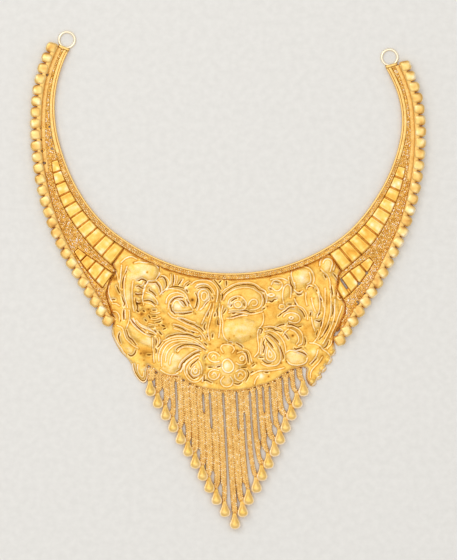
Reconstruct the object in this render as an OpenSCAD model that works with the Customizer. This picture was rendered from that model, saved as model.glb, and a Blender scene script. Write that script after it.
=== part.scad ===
/* [Collar] */
// Height of the neck's centre above the middle of the whole piece
neck_y = 60.6; // [60:0.1:61]
// Width of the polished rim wire round the neckline
rim_w = 0.65; // [0.5:0.05:0.8]
// Height of the rim wire
rim_h = 1.8; // [1.4:0.1:2.2]
// Thickness of the granulated braids
braid_h = 1.4; // [1:0.1:1.8]
// Gap between pieces that lie side by side
play = 0.1; // [0.05:0.01:0.15]

/* [Box links] */
// Angle round the neck from one box link to the next
tile_pitch = 3.72; // [3.6:0.02:3.72]
// Box links in each upper row
tile_count = 10; // [6:1:10]
// Width of the groove between two links
tile_gap = 0.35; // [0.2:0.05:0.5]
// Height of a box link
tile_h = 1.9; // [1.5:0.1:2.2]
// Width of the bevel round the top of a link
tile_bevel = 0.35; // [0.2:0.05:0.5]
// Thickness of the strip that joins a row of links
tile_base = 0.6; // [0.4:0.1:0.8]

/* [Edge beads] */
// Distance from one bead to the next along the edge
bead_pitch = 4.1; // [4:0.02:4.1]
// Beads on each arm
bead_count = 27; // [20:1:27]
// Thickness of a bead
bead_d = 3.4; // [3:0.1:3.6]
// Length of a bead, from its gallery to its tip
bead_l = 3.7; // [3.5:0.1:3.8]
// Radius round the ends of a bead
bead_round = 0.9; // [0.6:0.1:1.2]
// Thickness of the gallery strip between the beads
gallery_h = 1.3; // [1:0.1:1.6]

/* [End rings] */
// Outside diameter of an end ring
ring_d = 6.6; // [6.2:0.1:6.8]
// Wire thickness of an end ring
ring_wire = 0.85; // [0.7:0.05:0.95]
// Width of the flat land inside the ring
ring_land = 0.5; // [0.4:0.05:0.6]

/* [Panel] */
// Thickness of the panel's sheet
sheet_h = 0.8; // [0.6:0.1:1]

/* [Fringe] */
// Strands in the fringe
strand_count = 23; // [11:2:23]
// Distance from one strand to the next
strand_pitch = 2.44; // [2.4:0.02:2.5]
// Sideways lean of a strand for each millimetre down
strand_lean = 0.06; // [0:0.01:0.08]
// Diameter of a fringe chain
chain_d = 1.65; // [1.4:0.05:1.7]
// Diameter of a pear drop
drop_d = 3.3; // [3:0.1:3.4]
// Length of a pear drop
drop_l = 6.2; // [5.8:0.1:6.4]
// Rise of the drops from one strand to the next
drop_step = 4.4; // [4.3:0.05:4.5]

/* [Hidden] */
half_count = (strand_count - 1) / 2;
function two_digits(n) = n < 10 ? str("0", n) : str(n);

// Angles run round the neck's centre from straight down, and are negative on the left arm.
left_end = -111.35;
right_end = 105.95;
panel_left = -37.8;
panel_right = 36;

// Upper ends of the two rows of box links
row_left = panel_left - tile_count * tile_pitch;
row_right = panel_right + tile_count * tile_pitch;

// Columns: angle, radius of the neckline, radius of the inner braid's outer edge
NECKLINE = [
    [-116, 61.8, 63.7],
    [-107, 62.9, 64.8],
    [-95, 63.3, 65.2],
    [-85, 62.8, 64.8],
    [-75, 61.9, 64.2],
    [-65, 61.3, 63.9],
    [-50, 60.4, 63.0],
    [-35, 59.0, 61.5],
    [-20, 58.4, 60.7],
    [0, 58.1, 60.3],
    [15, 58.7, 60.9],
    [30, 59.8, 62.2],
    [45, 61.3, 63.7],
    [60, 62.0, 64.3],
    [72, 62.8, 64.8],
    [86, 63.5, 65.4],
    [95, 62.6, 64.5],
    [103, 60.7, 62.6],
    [110, 58.9, 60.8]
];

// Columns: angle, radius of the bead tips
TIPS_LEFT = [
    [-114, 70.4],
    [-100, 71.7],
    [-90, 72.1],
    [-80, 73.0],
    [-70, 74.6],
    [-60, 76.9],
    [-50, 79.7],
    [-42, 82.4],
    [-36, 85.4],
    [-30, 89.4]
];
TIPS_RIGHT = [
    [26, 94.4],
    [33, 88.9],
    [40, 85.0],
    [48, 81.3],
    [56, 78.8],
    [65, 76.2],
    [75, 74.0],
    [85, 72.44],
    [95, 71.14],
    [109, 68.2]
];

// Columns: angle, radius of the outer braid's inner edge
BRAID_LEFT = [
    [-75.2, 66.5],
    [-70, 67.9],
    [-60, 69.1],
    [-50, 69.4],
    [-37, 69.8],
    [-35.7, 70.8],
    [-35.3, 77.6],
    [-34.2, 79.7],
    [-32.6, 81.7],
    [-30.4, 84.3]
];
BRAID_RIGHT = [
    [27.6, 88.2],
    [29.2, 86.0],
    [30.8, 84.2],
    [31.9, 82.0],
    [32.1, 77.0],
    [33.4, 74.4],
    [33.9, 72.3],
    [35.2, 71.2],
    [40, 70.9],
    [47, 71.1],
    [54, 70.3],
    [61, 69.5],
    [68, 68.6],
    [73.3, 67.6]
];

// Columns: angle of each seam in the lower row of box links, with the row's inner and outer radius there
LOWER_LEFT = [
    [-48.2, 73.4, 75.4],
    [-45, 72.7, 76.3],
    [-41.9, 72, 77.1],
    [-38.5, 71.7, 78],
    [-35.7, 71.6, 78.4]
];
LOWER_RIGHT = [
    [31.9, 75.4, 79.8],
    [34.3, 72.7, 79.3],
    [37.7, 72.3, 78.5],
    [41.15, 72.8, 77.2],
    [44.6, 73.4, 75.8]
];

// Angle, inner radius, outer radius and width of the open slot in the right lower row
SLOT = [34.3, 72, 77.1, 0.7];

// Columns: angle, radius and width of a small see-through gap between the bands
GAPS_LEFT = [
    [-102.2, 67.3, 0.9],
    [-85.8, 65.2, 1.1],
    [-82.3, 65.2, 1.2],
    [-78.8, 65.4, 1.3],
    [-74.9, 69.1, 0.9]
];
GAPS_RIGHT = [
    [34.5, 83.2, 1],
    [37.6, 78.3, 1.1],
    [41.1, 77.1, 1.1]
];

// Columns: x, y of the panel's lower edge, from left to right, which carries the fringe
HEM = [
    [-29.2, -31.0],
    [-25.5, -34.2],
    [-21.9, -35.3],
    [-18.3, -35.4],
    [-14.6, -37.5],
    [-10.2, -39.4],
    [-5.1, -40.4],
    [0.7, -40.7],
    [6.6, -40.2],
    [10.2, -39.1],
    [13.9, -38.2],
    [17.5, -36.7],
    [20.8, -34.3],
    [23.7, -32.8],
    [27.6, -31.8]
];

// The panel's right side, from the hem's end round the scalloped leaf and up to the neckline
PANEL_RIGHT = [
    [28.7, -32.4],
    [28.4, -35.4],
    [29.4, -38],
    [30.8, -38.8],
    [32.1, -37.7],
    [32.4, -36],
    [34.2, -35.2],
    [34.8, -33.2],
    [36.1, -31.3],
    [37.5, -29.6],
    [38.3, -27.3],
    [39.3, -25.5],
    [38.6, -22.4],
    [38.9, -19.6],
    [40.5, -17.2],
    [41.7, -14.6],
    [42.85, -11.7],
    [43.05, -9.1],
    [42.1, -7.3],
    [39.75, -3.5],
    [40.15, -1.5],
    [40.05, 0.6],
    [40.75, 2.6],
    [41.4, 3.3],
    [39.15, 6.6]
];

// The panel's left side, from the neckline down to the hanging leaf and the hem's start
PANEL_LEFT = [
    [-42.4, 5.8],
    [-41.8, 4.75],
    [-41.1, 3.0],
    [-43.9, -2.3],
    [-44.5, -5.2],
    [-43.8, -8.1],
    [-42.5, -12],
    [-41.9, -13.4],
    [-41.9, -15.4],
    [-42.2, -17.2],
    [-42.3, -20],
    [-40.6, -23.7],
    [-38.8, -26.6],
    [-37, -28.3],
    [-35.4, -30.6],
    [-34.7, -33.3],
    [-33.3, -35.7],
    [-31.6, -37.4],
    [-30.2, -37.5],
    [-29.4, -36.4],
    [-29.1, -34.4],
    [-29.2, -31.6]
];

// Columns: x, y, length, width, turn and height of each raised leaf or dome of the panel
RELIEF = [
    [-30.2, 3.0, 15, 10.2, 35, 3.0],
    [-37.0, -7.0, 27, 4.6, 88, 2.4],
    [-25.4, -4.2, 13, 7.0, 60, 2.2],
    [-18.4, -8.6, 13.5, 11.5, -35, 3.0],
    [-9.6, -8.4, 17, 7.4, 97, 2.6],
    [-4.2, -9.6, 17, 2.6, 84, 2.2],
    [5.4, -6.6, 15.5, 10.4, 8, 2.8],
    [4.6, -18.2, 17.5, 9.6, 2, 3.3],
    [-0.8, -31.8, 14.5, 12.5, 0, 3.2],
    [-20.4, -29.2, 15, 14, 20, 3.3],
    [-11.4, -31.6, 9, 6.6, 50, 2.8],
    [-31.8, -19.4, 16, 6.6, -42, 2.4],
    [-38.4, -20.4, 11, 5.6, -62, 2.2],
    [-32.0, -31.8, 11.5, 6, -68, 2.4],
    [15.0, -25.8, 12.5, 8.6, 108, 2.8],
    [22.8, -20.0, 11, 6, -30, 2.4],
    [23.0, -13.2, 10.5, 7.2, 15, 2.8],
    [18.6, -4.8, 12.5, 7, 25, 2.4],
    [26.8, 1.4, 11, 7.8, 30, 3.0],
    [36.0, 5.2, 9, 7.0, 60, 3.1],
    [38.0, -8.6, 19, 4.4, 96, 2.4],
    [32.0, -10.6, 15.5, 5.6, 85, 2.4],
    [25.6, -27.8, 10, 8.6, 10, 3.0],
    [33.2, -24.6, 12.5, 7.4, 62, 2.4]
];

// Sideways swing of each drop from its strand's straight line, from left to right
SWING = [
    -0.75, -0.75, -0.6, -0.55, -0.55, -0.55, -0.6, -0.7, -0.95, -1, -0.65, 0.3,
    0.95, 0.9, 1.6, 1.45, 1.65, 1.7, 1.45, 1.35, 1.25, 1.2, 1.3
];
strand_mid_x = -0.44;
strand_mid_y = -43.8;
fringe_tip_y = -90.93;

// Work out a smooth value at a from column c of a table whose first column rises
function row_at(t, a) = max([0, for (i = [0 : len(t) - 2]) if (t[i][0] <= a) i]);
function slope(t, i, c) =
    let (lo = max(i - 1, 0), hi = min(i + 1, len(t) - 1))
    (t[hi][c] - t[lo][c]) / (t[hi][0] - t[lo][0]);
function smooth(t, a, c = 1) =
    let (
        i = row_at(t, a),
        w = t[i + 1][0] - t[i][0],
        s = (a - t[i][0]) / w
    )
    (2 * s * s * s - 3 * s * s + 1) * t[i][c]
    + (s * s * s - 2 * s * s + s) * w * slope(t, i, c)
    + (3 * s * s - 2 * s * s * s) * t[i + 1][c]
    + (s * s * s - s * s) * w * slope(t, i + 1, c);

// A point at radius r and angle a round the neck's centre
function around(r, a) = [r * sin(a), neck_y - r * cos(a)];
function angles(a, b, step) =
    let (n = ceil(abs(b - a) / step)) [for (i = [0 : n]) a + (b - a) * i / n];
function reversed(list) = [for (i = [len(list) - 1 : -1 : 0]) list[i]];

// The outline between two lists of points that run the same way
function ribbon(inner, outer) = concat(inner, reversed(outer));

module band(inner, outer, height) {
    linear_extrude(height) polygon(ribbon(inner, outer));
}

// Rim and inner braid
curve_step = 2;

module neck_rim() {
    a = angles(left_end, right_end, curve_step);
    color("gold") band(
        [for (t = a) around(smooth(NECKLINE, t), t)],
        [for (t = a) around(smooth(NECKLINE, t) + rim_w, t)],
        rim_h
    );
}

module inner_braid() {
    a = angles(left_end, right_end, curve_step);
    color("burlywood") band(
        [for (t = a) around(smooth(NECKLINE, t) + rim_w + play, t)],
        [for (t = a) around(smooth(NECKLINE, t, 2), t)],
        braid_h
    );
}

// A box link between two radii and two angles, with a step for the bevel round its top
module box_link(r0, r1, a0, a1) {
    groove = asin(tile_gap / 2 / r0);
    bevel = asin(tile_bevel / r0);
    linear_extrude(tile_h - tile_bevel) polygon([
        around(r0, a0 + groove), around(r1, a0 + groove),
        around(r1, a1 - groove), around(r0, a1 - groove)
    ]);
    linear_extrude(tile_h) polygon([
        around(r0 + tile_bevel, a0 + groove + bevel), around(r1 - tile_bevel, a0 + groove + bevel),
        around(r1 - tile_bevel, a1 - groove - bevel), around(r0 + tile_bevel, a1 - groove - bevel)
    ]);
}

// Row of box links from angle start, whose ends follow the braids beside it
module tile_row(start, braid) {
    stop = start + tile_count * tile_pitch;
    a = [for (i = [0 : 2 * tile_count]) start + i * tile_pitch / 2];
    margin = asin(tile_gap / 2 / 64);
    inside = [for (t = a) smooth(NECKLINE, t, 2) + play];
    outside = [for (t = a) lookup(t, braid) - play];
    clipped = [for (t = a) min(max(t, start + margin), stop - margin)];
    color("khaki") union() {
        band(
            [for (i = [0 : len(a) - 1]) around(inside[i], clipped[i])],
            [for (i = [0 : len(a) - 1]) around(outside[i], clipped[i])],
            tile_base
        );
        for (i = [0 : tile_count - 1]) {
            r0 = max(inside[2 * i], inside[2 * i + 1], inside[2 * i + 2]);
            r1 = min(outside[2 * i], outside[2 * i + 1], outside[2 * i + 2]);
            box_link(r0, r1, a[2 * i], a[2 * i + 2]);
        }
    }
}

// One edge of a lower row, moved outwards by grow, with its two ends drawn in by an angle
function row_edge(rows, column, grow, draw) =
    let (last = len(rows) - 1)
    [
        for (i = [0 : last])
            let (drawn = i == 0 ? draw : i == last ? -draw : 0)
            around(rows[i][column] + grow, rows[i][0] + drawn)
    ];

module lower_tiles(rows, gaps) {
    margin = asin(tile_gap / 2 / 72);
    color("khaki") difference() {
        union() {
            band(row_edge(rows, 1, 0, margin), row_edge(rows, 2, 0, margin), tile_base);
            for (i = [0 : len(rows) - 2])
                box_link(
                    max(rows[i][1], rows[i + 1][1]), min(rows[i][2], rows[i + 1][2]),
                    rows[i][0], rows[i + 1][0]
                );
        }
        gap_holes(gaps);
        translate([0, neck_y, -1]) rotate(SLOT[0]) translate([-SLOT[3] / 2, -SLOT[2], 0])
            cube([SLOT[3], SLOT[2] - SLOT[1], tile_h + 2]);
    }
}

// The window in the outer braid that the lower row lies in
module lower_window(rows) {
    translate([0, 0, -1])
        band(row_edge(rows, 1, -play, -0.05), row_edge(rows, 2, play, -0.05), braid_h + 2);
}

// Small see-through gaps where two bands meet
module gap_holes(gaps) {
    for (g = gaps) translate(concat(around(g[1], g[0]), -1)) rotate(g[0])
        cylinder(h = tile_h + 2, d = g[2], $fn = 8);
}

gallery_in = bead_l + 0.5;
gallery_out = bead_l / 2;

// Outer braid, whose inner edge steps from the box links to the inner braid at the angle of the row's end
module outer_braid(from, step_at, to, braid, tips, rows, gaps) {
    stretches = [angles(from, step_at, curve_step / 2), angles(step_at, to, curve_step / 2)];
    color("burlywood") difference() {
        band(
            [for (a = stretches, t = a)
                let (past_row = abs(a[0] + a[len(a) - 1]) > abs(2 * step_at))
                around(past_row ? smooth(NECKLINE, t, 2) + play : lookup(t, braid), t)],
            [for (t = angles(from, to, curve_step / 2)) around(smooth(tips, t) - gallery_in - play, t)],
            braid_h
        );
        lower_window(rows);
        gap_holes(gaps);
    }
}

// A round-ended bead lying on its side, with its tip at the far end of its axis
module bead() {
    r = bead_d / 2;
    steps = 4;
    corner = [for (i = [0 : steps]) let (t = 90 * i / steps)
        [r - bead_round + bead_round * cos(t), bead_l - bead_round + bead_round * sin(t)]];
    rotate_extrude($fn = 48) polygon(concat([[0, 0], [r - 0.5, 0], [r, 0.5]], corner, [[0, bead_l]]));
}

// Angles of the beads, a pitch apart along the line through their middles
function bead_radius(tips, a) = smooth(tips, a) - bead_l / 2;
function next_bead(tips, a, pitch) =
    let (
        r = bead_radius(tips, a),
        rise = (bead_radius(tips, a + 1) - bead_radius(tips, a - 1)) / 2 * 180 / PI
    )
    a + pitch / sqrt(r * r + rise * rise) * 180 / PI;
function bead_angles(tips, a, pitch, n) =
    n == 0 ? [] : concat([a], bead_angles(tips, next_bead(tips, a, pitch), pitch, n - 1));

// String of beads on its gallery strip
module edge_beads(tips, first, pitch, from, to) {
    a = angles(from, to, curve_step);
    color("gold") union() {
        translate([0, 0, bead_d / 2 - gallery_h / 2]) band(
            [for (t = a) around(smooth(tips, t) - gallery_in, t)],
            [for (t = a) around(smooth(tips, t) - gallery_out, t)],
            gallery_h
        );
        for (t = bead_angles(tips, first, pitch, bead_count))
            translate(concat(around(smooth(tips, t) - bead_l, t), bead_d / 2))
                rotate(t) rotate([90, 0, 0]) bead();
    }
}

// Ring of drawn wire with a flat land inside, on the plate that closes the end of an arm
module end_ring(r, a, plate_a, plate_in, plate_out) {
    outer = ring_d / 2;
    inner = outer - ring_wire;
    half_land = ring_land / 2;
    half_wire = ring_wire / 2;
    plate_turn = 0.85;
    plate_end = plate_a + sign(a) * plate_turn;
    color("gold") union() {
        translate(concat(around(r, a), half_wire)) rotate_extrude($fn = 96) polygon([
            [inner, -half_land], [inner, half_land],
            [inner + 0.15, half_wire], [outer - 0.15, half_wire],
            [outer, half_land], [outer, -half_land],
            [outer - 0.15, -half_wire], [inner + 0.15, -half_wire]
        ]);
        linear_extrude(braid_h) polygon([
            around(plate_in, plate_a), around(plate_out, plate_a),
            around(plate_out, plate_end), around(plate_in, plate_end)
        ]);
    }
}

// A leaf outline with a round end and a drawn-out end, centred on its middle
function leaf(length, width) = [
    for (t = [0 : 24 : 336])
        [length / 2 * cos(t), width / 2 * sin(t) * (1 - 0.28 * cos(t))]
];

module raised_leaf(row) {
    steps = 3;
    translate([row[0], row[1], 0]) rotate(row[4])
        for (i = [1 : steps]) {
            shrink = cos(62 * (i - 1) / (steps - 1));
            linear_extrude(sheet_h + (row[5] - sheet_h) * i / steps)
                polygon(leaf(row[2] * shrink, row[3] * shrink));
        }
}

module panel_outline() {
    edge = angles(panel_left, panel_right, curve_step);
    polygon(concat(
        HEM,
        PANEL_RIGHT,
        [for (t = reversed(edge)) around(smooth(NECKLINE, t, 2) + play, t)],
        PANEL_LEFT
    ));
}

module centre_panel() {
    color("goldenrod") union() {
        linear_extrude(sheet_h) panel_outline();
        intersection() {
            linear_extrude(10) panel_outline();
            union() for (row = RELIEF) raised_leaf(row);
        }
    }
}

// Strands of the fringe are numbered from the left, and counted out from the middle one
function strand_x(i, y) = strand_mid_x + i * strand_pitch + strand_lean * (strand_mid_y - y);
function drop_foot(i) = fringe_tip_y + abs(i) * drop_step;
function drop_x(i) = strand_x(i, drop_foot(i)) + SWING[i + 11];
function drop_top(i) = [drop_x(i) - strand_lean * drop_l, drop_foot(i) + drop_l];

// Height of the hem above a chain of the fringe, at its lowest across the chain
function hem_y(x) = min([for (d = [-1, -0.5, 0, 0.5, 1]) lookup(x + d * (chain_d / 2 + play), HEM)]);

chain_sides = 8;
chain_z_end = 1.25;

function chain_point(i, t) =
    let (
        hem = hem_y(strand_x(i, hem_y(strand_x(i, strand_mid_y)))),
        top = hem - play,
        foot = drop_top(i)[1] + play,
        y = top + (foot - top) * t,
        lift = t * t * t
    )
    [
        strand_x(i, y) + (drop_top(i)[0] - strand_x(i, foot)) * t * t,
        y,
        chain_d / 2 + (chain_z_end - chain_d / 2) * lift
    ];

module fringe_chain(i) {
    run = chain_point(i, 0)[1] - chain_point(i, 1)[1];
    rings = max(3, ceil(run / (2.5 * chain_d)));
    points = [
        for (k = [0 : rings], s = [0 : chain_sides - 1])
            let (
                p = chain_point(i, k / rings),
                turn = (s + 0.5) * 360 / chain_sides,
                r = chain_d / 2 / cos(180 / chain_sides) * (k == rings ? 0.7 : 1)
            )
            [p[0] + r * cos(turn), p[1], p[2] + r * sin(turn) * cos(180 / chain_sides)]
    ];
    sides = [
        for (k = [0 : rings - 1], s = [0 : chain_sides - 1])
            let (
                n = (s + 1) % chain_sides,
                a = k * chain_sides,
                b = a + chain_sides
            )
            [a + s, a + n, b + n, b + s]
    ];
    first = [for (s = [chain_sides - 1 : -1 : 0]) s];
    last = [for (s = [0 : chain_sides - 1]) rings * chain_sides + s];
    color("goldenrod") polyhedron(points, concat(sides, [first, last]));
}

// Pear drop lying on its side, round at the foot and drawn out to a neck at the top
module fringe_drop(i) {
    r = drop_d / 2;
    neck_r = 0.45;
    foot = [for (t = [-90 : 15 : 15]) [r * cos(t), r + r * sin(t)]];
    shoulder = foot[len(foot) - 1];
    steps = 5;
    taper = [
        for (k = [1 : steps])
            let (
                s = k / steps,
                ease = (1 + cos(180 * s)) / 2,
                slim = 0.6 * ease + 0.4 * (1 - s)
            )
            [neck_r + (shoulder[0] - neck_r) * slim, shoulder[1] + (drop_l - shoulder[1]) * s]
    ];
    color("gold") translate([drop_x(i), drop_foot(i), r])
        rotate(atan(strand_lean)) rotate([-90, 0, 0])
            rotate_extrude($fn = 48) polygon(concat(foot, taper, [[0, drop_l]]));
}

end_ring(64.7, -114.7, left_end - play, 62.3, 66.6);  // end_ring_left
end_ring(62.45, 109.3, right_end + play, 59.9, 64.4);  // end_ring_right
neck_rim();
inner_braid();
tile_row(row_left, BRAID_LEFT);  // tile_row_left
tile_row(panel_right, BRAID_RIGHT);  // tile_row_right
lower_tiles(LOWER_LEFT, GAPS_LEFT);  // lower_tiles_left
lower_tiles(LOWER_RIGHT, GAPS_RIGHT);  // lower_tiles_right
outer_braid(left_end, row_left, -30.5, BRAID_LEFT, TIPS_LEFT, LOWER_LEFT, GAPS_LEFT);  // outer_braid_left
outer_braid(27.7, row_right, right_end, BRAID_RIGHT, TIPS_RIGHT, LOWER_RIGHT, GAPS_RIGHT);  // outer_braid_right
edge_beads(TIPS_LEFT, -110.5, bead_pitch - 0.02, left_end, -30);  // edge_beads_left
edge_beads(TIPS_RIGHT, 105, -bead_pitch - 0.02, 26.2, right_end);  // edge_beads_right
centre_panel();
for (i = [-half_count : half_count]) {
    fringe_chain(i);
    fringe_drop(i);
}
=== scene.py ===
import math
import random

import bmesh
import bpy
import numpy as np
from mathutils import Matrix, Vector, noise


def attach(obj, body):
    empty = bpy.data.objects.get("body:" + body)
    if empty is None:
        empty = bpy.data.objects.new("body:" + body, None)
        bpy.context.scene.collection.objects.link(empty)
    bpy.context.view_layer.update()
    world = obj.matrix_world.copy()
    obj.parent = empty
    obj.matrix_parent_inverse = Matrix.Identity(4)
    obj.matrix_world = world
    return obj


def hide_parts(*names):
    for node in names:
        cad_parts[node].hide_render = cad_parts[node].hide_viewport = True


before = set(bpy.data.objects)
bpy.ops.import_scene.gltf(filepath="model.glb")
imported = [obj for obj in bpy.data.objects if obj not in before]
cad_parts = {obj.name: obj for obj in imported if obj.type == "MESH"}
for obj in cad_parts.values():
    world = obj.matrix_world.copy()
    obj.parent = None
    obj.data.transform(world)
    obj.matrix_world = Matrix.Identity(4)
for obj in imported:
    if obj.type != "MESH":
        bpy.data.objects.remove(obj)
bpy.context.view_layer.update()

# Neck rim: gold wire drawn to a narrow upright bar, which stiffens the whole neckline.
# It is bent to the neck's curve, soldered along the inner braid and burnished on top; it is painted darker at
# its foot as shade and lighter on top as a highlight.
MM = 0.001
WELD = 0.003
NECK_Y = 60.6
NECK_ENDS = (-111.35, 105.95)
RIM_WIDTH = 0.65
RIM_HEIGHT = 1.8
RIM_STEPS = 260
# Painted shade of the rim's foot and painted highlight of its top
RIM_PAINTED_SHADES = (0.28, 0.6)
PLAY = 0.1

# How the gold's clouds, grit and hammer marks are spread, and how much rougher they make it
CLOUD_SCALE = 0.25
GRIT_SCALE = 0.7
GRIT_MIDDLE = 0.45
GRIT_DEPTH = 0.5
CREASE_ROUGHNESS = 0.16
CLOUD_ROUGHNESS = 0.12
HAMMER_DEPTH = 0.0002

# Columns: angle round the neck from straight down, radius of the neckline and of the inner braid's outer edge
NECKLINE = [
    (-116, 61.8, 63.7), (-107, 62.9, 64.8), (-95, 63.3, 65.2), (-85, 62.8, 64.8), (-75, 61.9, 64.2),
    (-65, 61.3, 63.9), (-50, 60.4, 63.0), (-35, 59.0, 61.5), (-20, 58.4, 60.7), (0, 58.1, 60.3),
    (15, 58.7, 60.9), (30, 59.8, 62.2), (45, 61.3, 63.7), (60, 62.0, 64.3), (72, 62.8, 64.8),
    (86, 63.5, 65.4), (95, 62.6, 64.5), (103, 60.7, 62.6), (110, 58.9, 60.8),
]


def smooth(table, at, column=1):
    """Value of a table's column on a curve through its rows, whose first column rises."""
    last = len(table) - 1
    i = max((k for k in range(last) if table[k][0] <= at), default=0)

    def slope(k):
        low, high = table[max(k - 1, 0)], table[min(k + 1, last)]
        return (high[column] - low[column]) / (high[0] - low[0])

    width = table[i + 1][0] - table[i][0]
    s = (at - table[i][0]) / width
    return (
        (2 * s**3 - 3 * s**2 + 1) * table[i][column]
        + (s**3 - 2 * s**2 + s) * width * slope(i)
        + (3 * s**2 - 2 * s**3) * table[i + 1][column]
        + (s**3 - s**2) * width * slope(i + 1)
    )


def between(low, high, share):
    """Value a share of the way from low to high."""
    return low + (high - low) * share


def squared(wave, power):
    """Sine or cosine drawn out towards 1 and -1, which squares the corners of a round section."""
    return math.copysign(abs(wave) ** power, wave)


def around(radius, angle, height=0.0):
    """Point at a radius and an angle round the neck's centre, in millimetres."""
    turn = math.radians(angle)
    return Vector((radius * math.sin(turn), NECK_Y - radius * math.cos(turn), height))


def new_piece():
    """Empty mesh in millimetres, whose painted shade runs from 0, dark as a shaded crease, to 1, a painted
    highlight on a crown.
    """
    made = bmesh.new()
    made.verts.layers.float.new("shade")
    return made


def bent_grid(piece, columns, rows, place):
    """Grid whose points go where place(u, v) says, and take the painted shade it gives."""
    shade = piece.verts.layers.float["shade"]
    made = bmesh.ops.create_grid(piece, x_segments=columns, y_segments=rows, size=0.5)["verts"]
    for point in made:
        point.co, point[shade] = place(point.co.x + 0.5, point.co.y + 0.5)


def neck_bar(piece, ends, steps, inner, outer, heights, tones, square=0.5, sides=14):
    """Bar along the neck's curve between two radii, with the heights and painted shades of its foot and its
    crown: shade at the foot, a highlight at the crown.
    """

    def place(u, v):
        angle = between(*ends, u)
        across = 0.5 + 0.5 * squared(math.cos(2 * math.pi * v), square)
        up = 0.5 + 0.5 * squared(math.sin(2 * math.pi * v), square)
        radius = between(inner(angle), outer(angle), across)
        return around(radius, angle, between(*heights, up)), between(*tones, up)

    bent_grid(piece, steps, sides, place)


def to_mesh(piece, name):
    """Mesh of that name from a bmesh, which is then freed."""
    mesh = bpy.data.meshes.new(name)
    piece.to_mesh(mesh)
    piece.free()
    return mesh


def place_object(name, data):
    """Object of that name in the scene."""
    made = bpy.data.objects.new(name, data)
    bpy.context.scene.collection.objects.link(made)
    return made


def finish_piece(piece, name, finish, slot, *nodes):
    """Close the mesh, bring it to metres, give it its finish, parent it to the root and hide the CAD nodes it
    stands in for.
    """
    bmesh.ops.remove_doubles(piece, verts=piece.verts, dist=WELD)
    open_edges = [edge for edge in piece.edges if edge.is_boundary]
    if open_edges:
        bmesh.ops.holes_fill(piece, edges=open_edges, sides=0)
    bmesh.ops.recalc_face_normals(piece, faces=piece.faces)
    bmesh.ops.scale(piece, vec=(MM, MM, MM), verts=piece.verts)
    for face in piece.faces:
        face.smooth = True
    mesh = to_mesh(piece, name)
    mesh.materials.append(finish)
    made = place_object(name, mesh)
    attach(made, "root")
    if nodes:
        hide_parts(*nodes)


class Link:
    """Output of a node, which is added and multiplied as a number is."""

    def __init__(self, tree, output=None):
        self.tree = tree
        self.output = output

    def node(self, kind, output=0, settings=None, **values):
        """One output of a new node, whose sockets take values or links; _0 stands for the first socket."""
        made = self.tree.nodes.new(kind)
        for name, value in (settings or {}).items():
            if name == "stops":
                while len(made.color_ramp.elements) < len(value):
                    made.color_ramp.elements.new(1)
                for element, (at, colour) in zip(made.color_ramp.elements, value):
                    element.position = at
                    element.color = colour
            else:
                setattr(made, name, value)
        for name, value in values.items():
            socket = made.inputs[int(name[1:]) if name[0] == "_" else name.replace("_", " ")]
            if isinstance(value, Link):
                self.tree.links.new(value.output, socket)
            else:
                socket.default_value = value
        return Link(self.tree, made.outputs[output] if made.outputs else None)

    def maths(self, operation, first, second):
        return self.node("ShaderNodeMath", settings={"operation": operation}, _0=first, _1=second)

    def __add__(self, other):
        return self.maths("ADD", self, other)

    def __sub__(self, other):
        return self.maths("SUBTRACT", self, other)

    def __rsub__(self, other):
        return self.maths("SUBTRACT", other, self)

    def __mul__(self, other):
        return self.maths("MULTIPLY", self, other)

    __radd__ = __add__
    __rmul__ = __mul__


def colour(red, green, blue):
    """Colour of a screen's red, green and blue, as a shader wants it."""
    parts = (red / 255, green / 255, blue / 255)
    return tuple(c / 12.92 if c <= 0.04045 else ((c + 0.055) / 1.055) ** 2.4 for c in parts) + (1.0,)


# Colours of each gold along its painted shade, from a shaded crease at 0 to a painted highlight at 1
YELLOW_GOLD = [
    (0.0, colour(84, 52, 18)),
    (0.2, colour(174, 114, 42)),
    (0.42, colour(228, 168, 70)),
    (0.62, colour(246, 202, 106)),
    (0.82, colour(252, 222, 168)),
    (1.0, colour(255, 240, 222)),
]
PINK_GOLD = [
    (0.0, colour(124, 76, 30)),
    (0.2, colour(200, 140, 72)),
    (0.42, colour(233, 186, 106)),
    (0.66, colour(247, 210, 134)),
    (0.85, colour(254, 228, 176)),
    (1.0, colour(255, 242, 214)),
]


def new_finish(name):
    """New material with its nodes cleared, and the link that makes new ones."""
    material = bpy.data.materials.new(name)
    material.use_nodes = True
    material.node_tree.nodes.clear()
    return material, Link(material.node_tree)


def gold_finish(name, stops, roughness, mottle, hammer, hammer_size, level=None):
    """Gold from painted shade in creases to painted highlights on crowns; level is a CAD node's painted shade,
    which it lacks.
    """
    material, make = new_finish(name)
    spot = make.node("ShaderNodeTexCoord", "Object")
    cloud = make.node("ShaderNodeTexNoise", Vector=spot, Scale=CLOUD_SCALE / hammer_size, Detail=2.0)
    dents = make.node("ShaderNodeTexNoise", Vector=spot, Scale=1 / hammer_size, Detail=3.0)
    if level is None:
        shade = make.node("ShaderNodeAttribute", "Fac", {"attribute_name": "shade"})
    else:
        grit = make.node("ShaderNodeTexVoronoi", Vector=spot, Scale=GRIT_SCALE / hammer_size)
        shade = level + (GRIT_MIDDLE - grit) * GRIT_DEPTH
    tone = shade + (cloud - 0.5) * mottle + (dents - 0.5) * mottle
    ramp = make.node("ShaderNodeValToRGB", settings={"stops": stops}, Fac=tone)
    rough = roughness + CREASE_ROUGHNESS * (1 - shade) + CLOUD_ROUGHNESS * (cloud - 0.5)
    bump = make.node("ShaderNodeBump", Height=dents, Strength=hammer, Distance=HAMMER_DEPTH)
    shader = make.node("ShaderNodeBsdfPrincipled", Base_Color=ramp, Metallic=1.0, Roughness=rough, Normal=bump)
    make.node("ShaderNodeOutputMaterial", Surface=shader)
    return material


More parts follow.
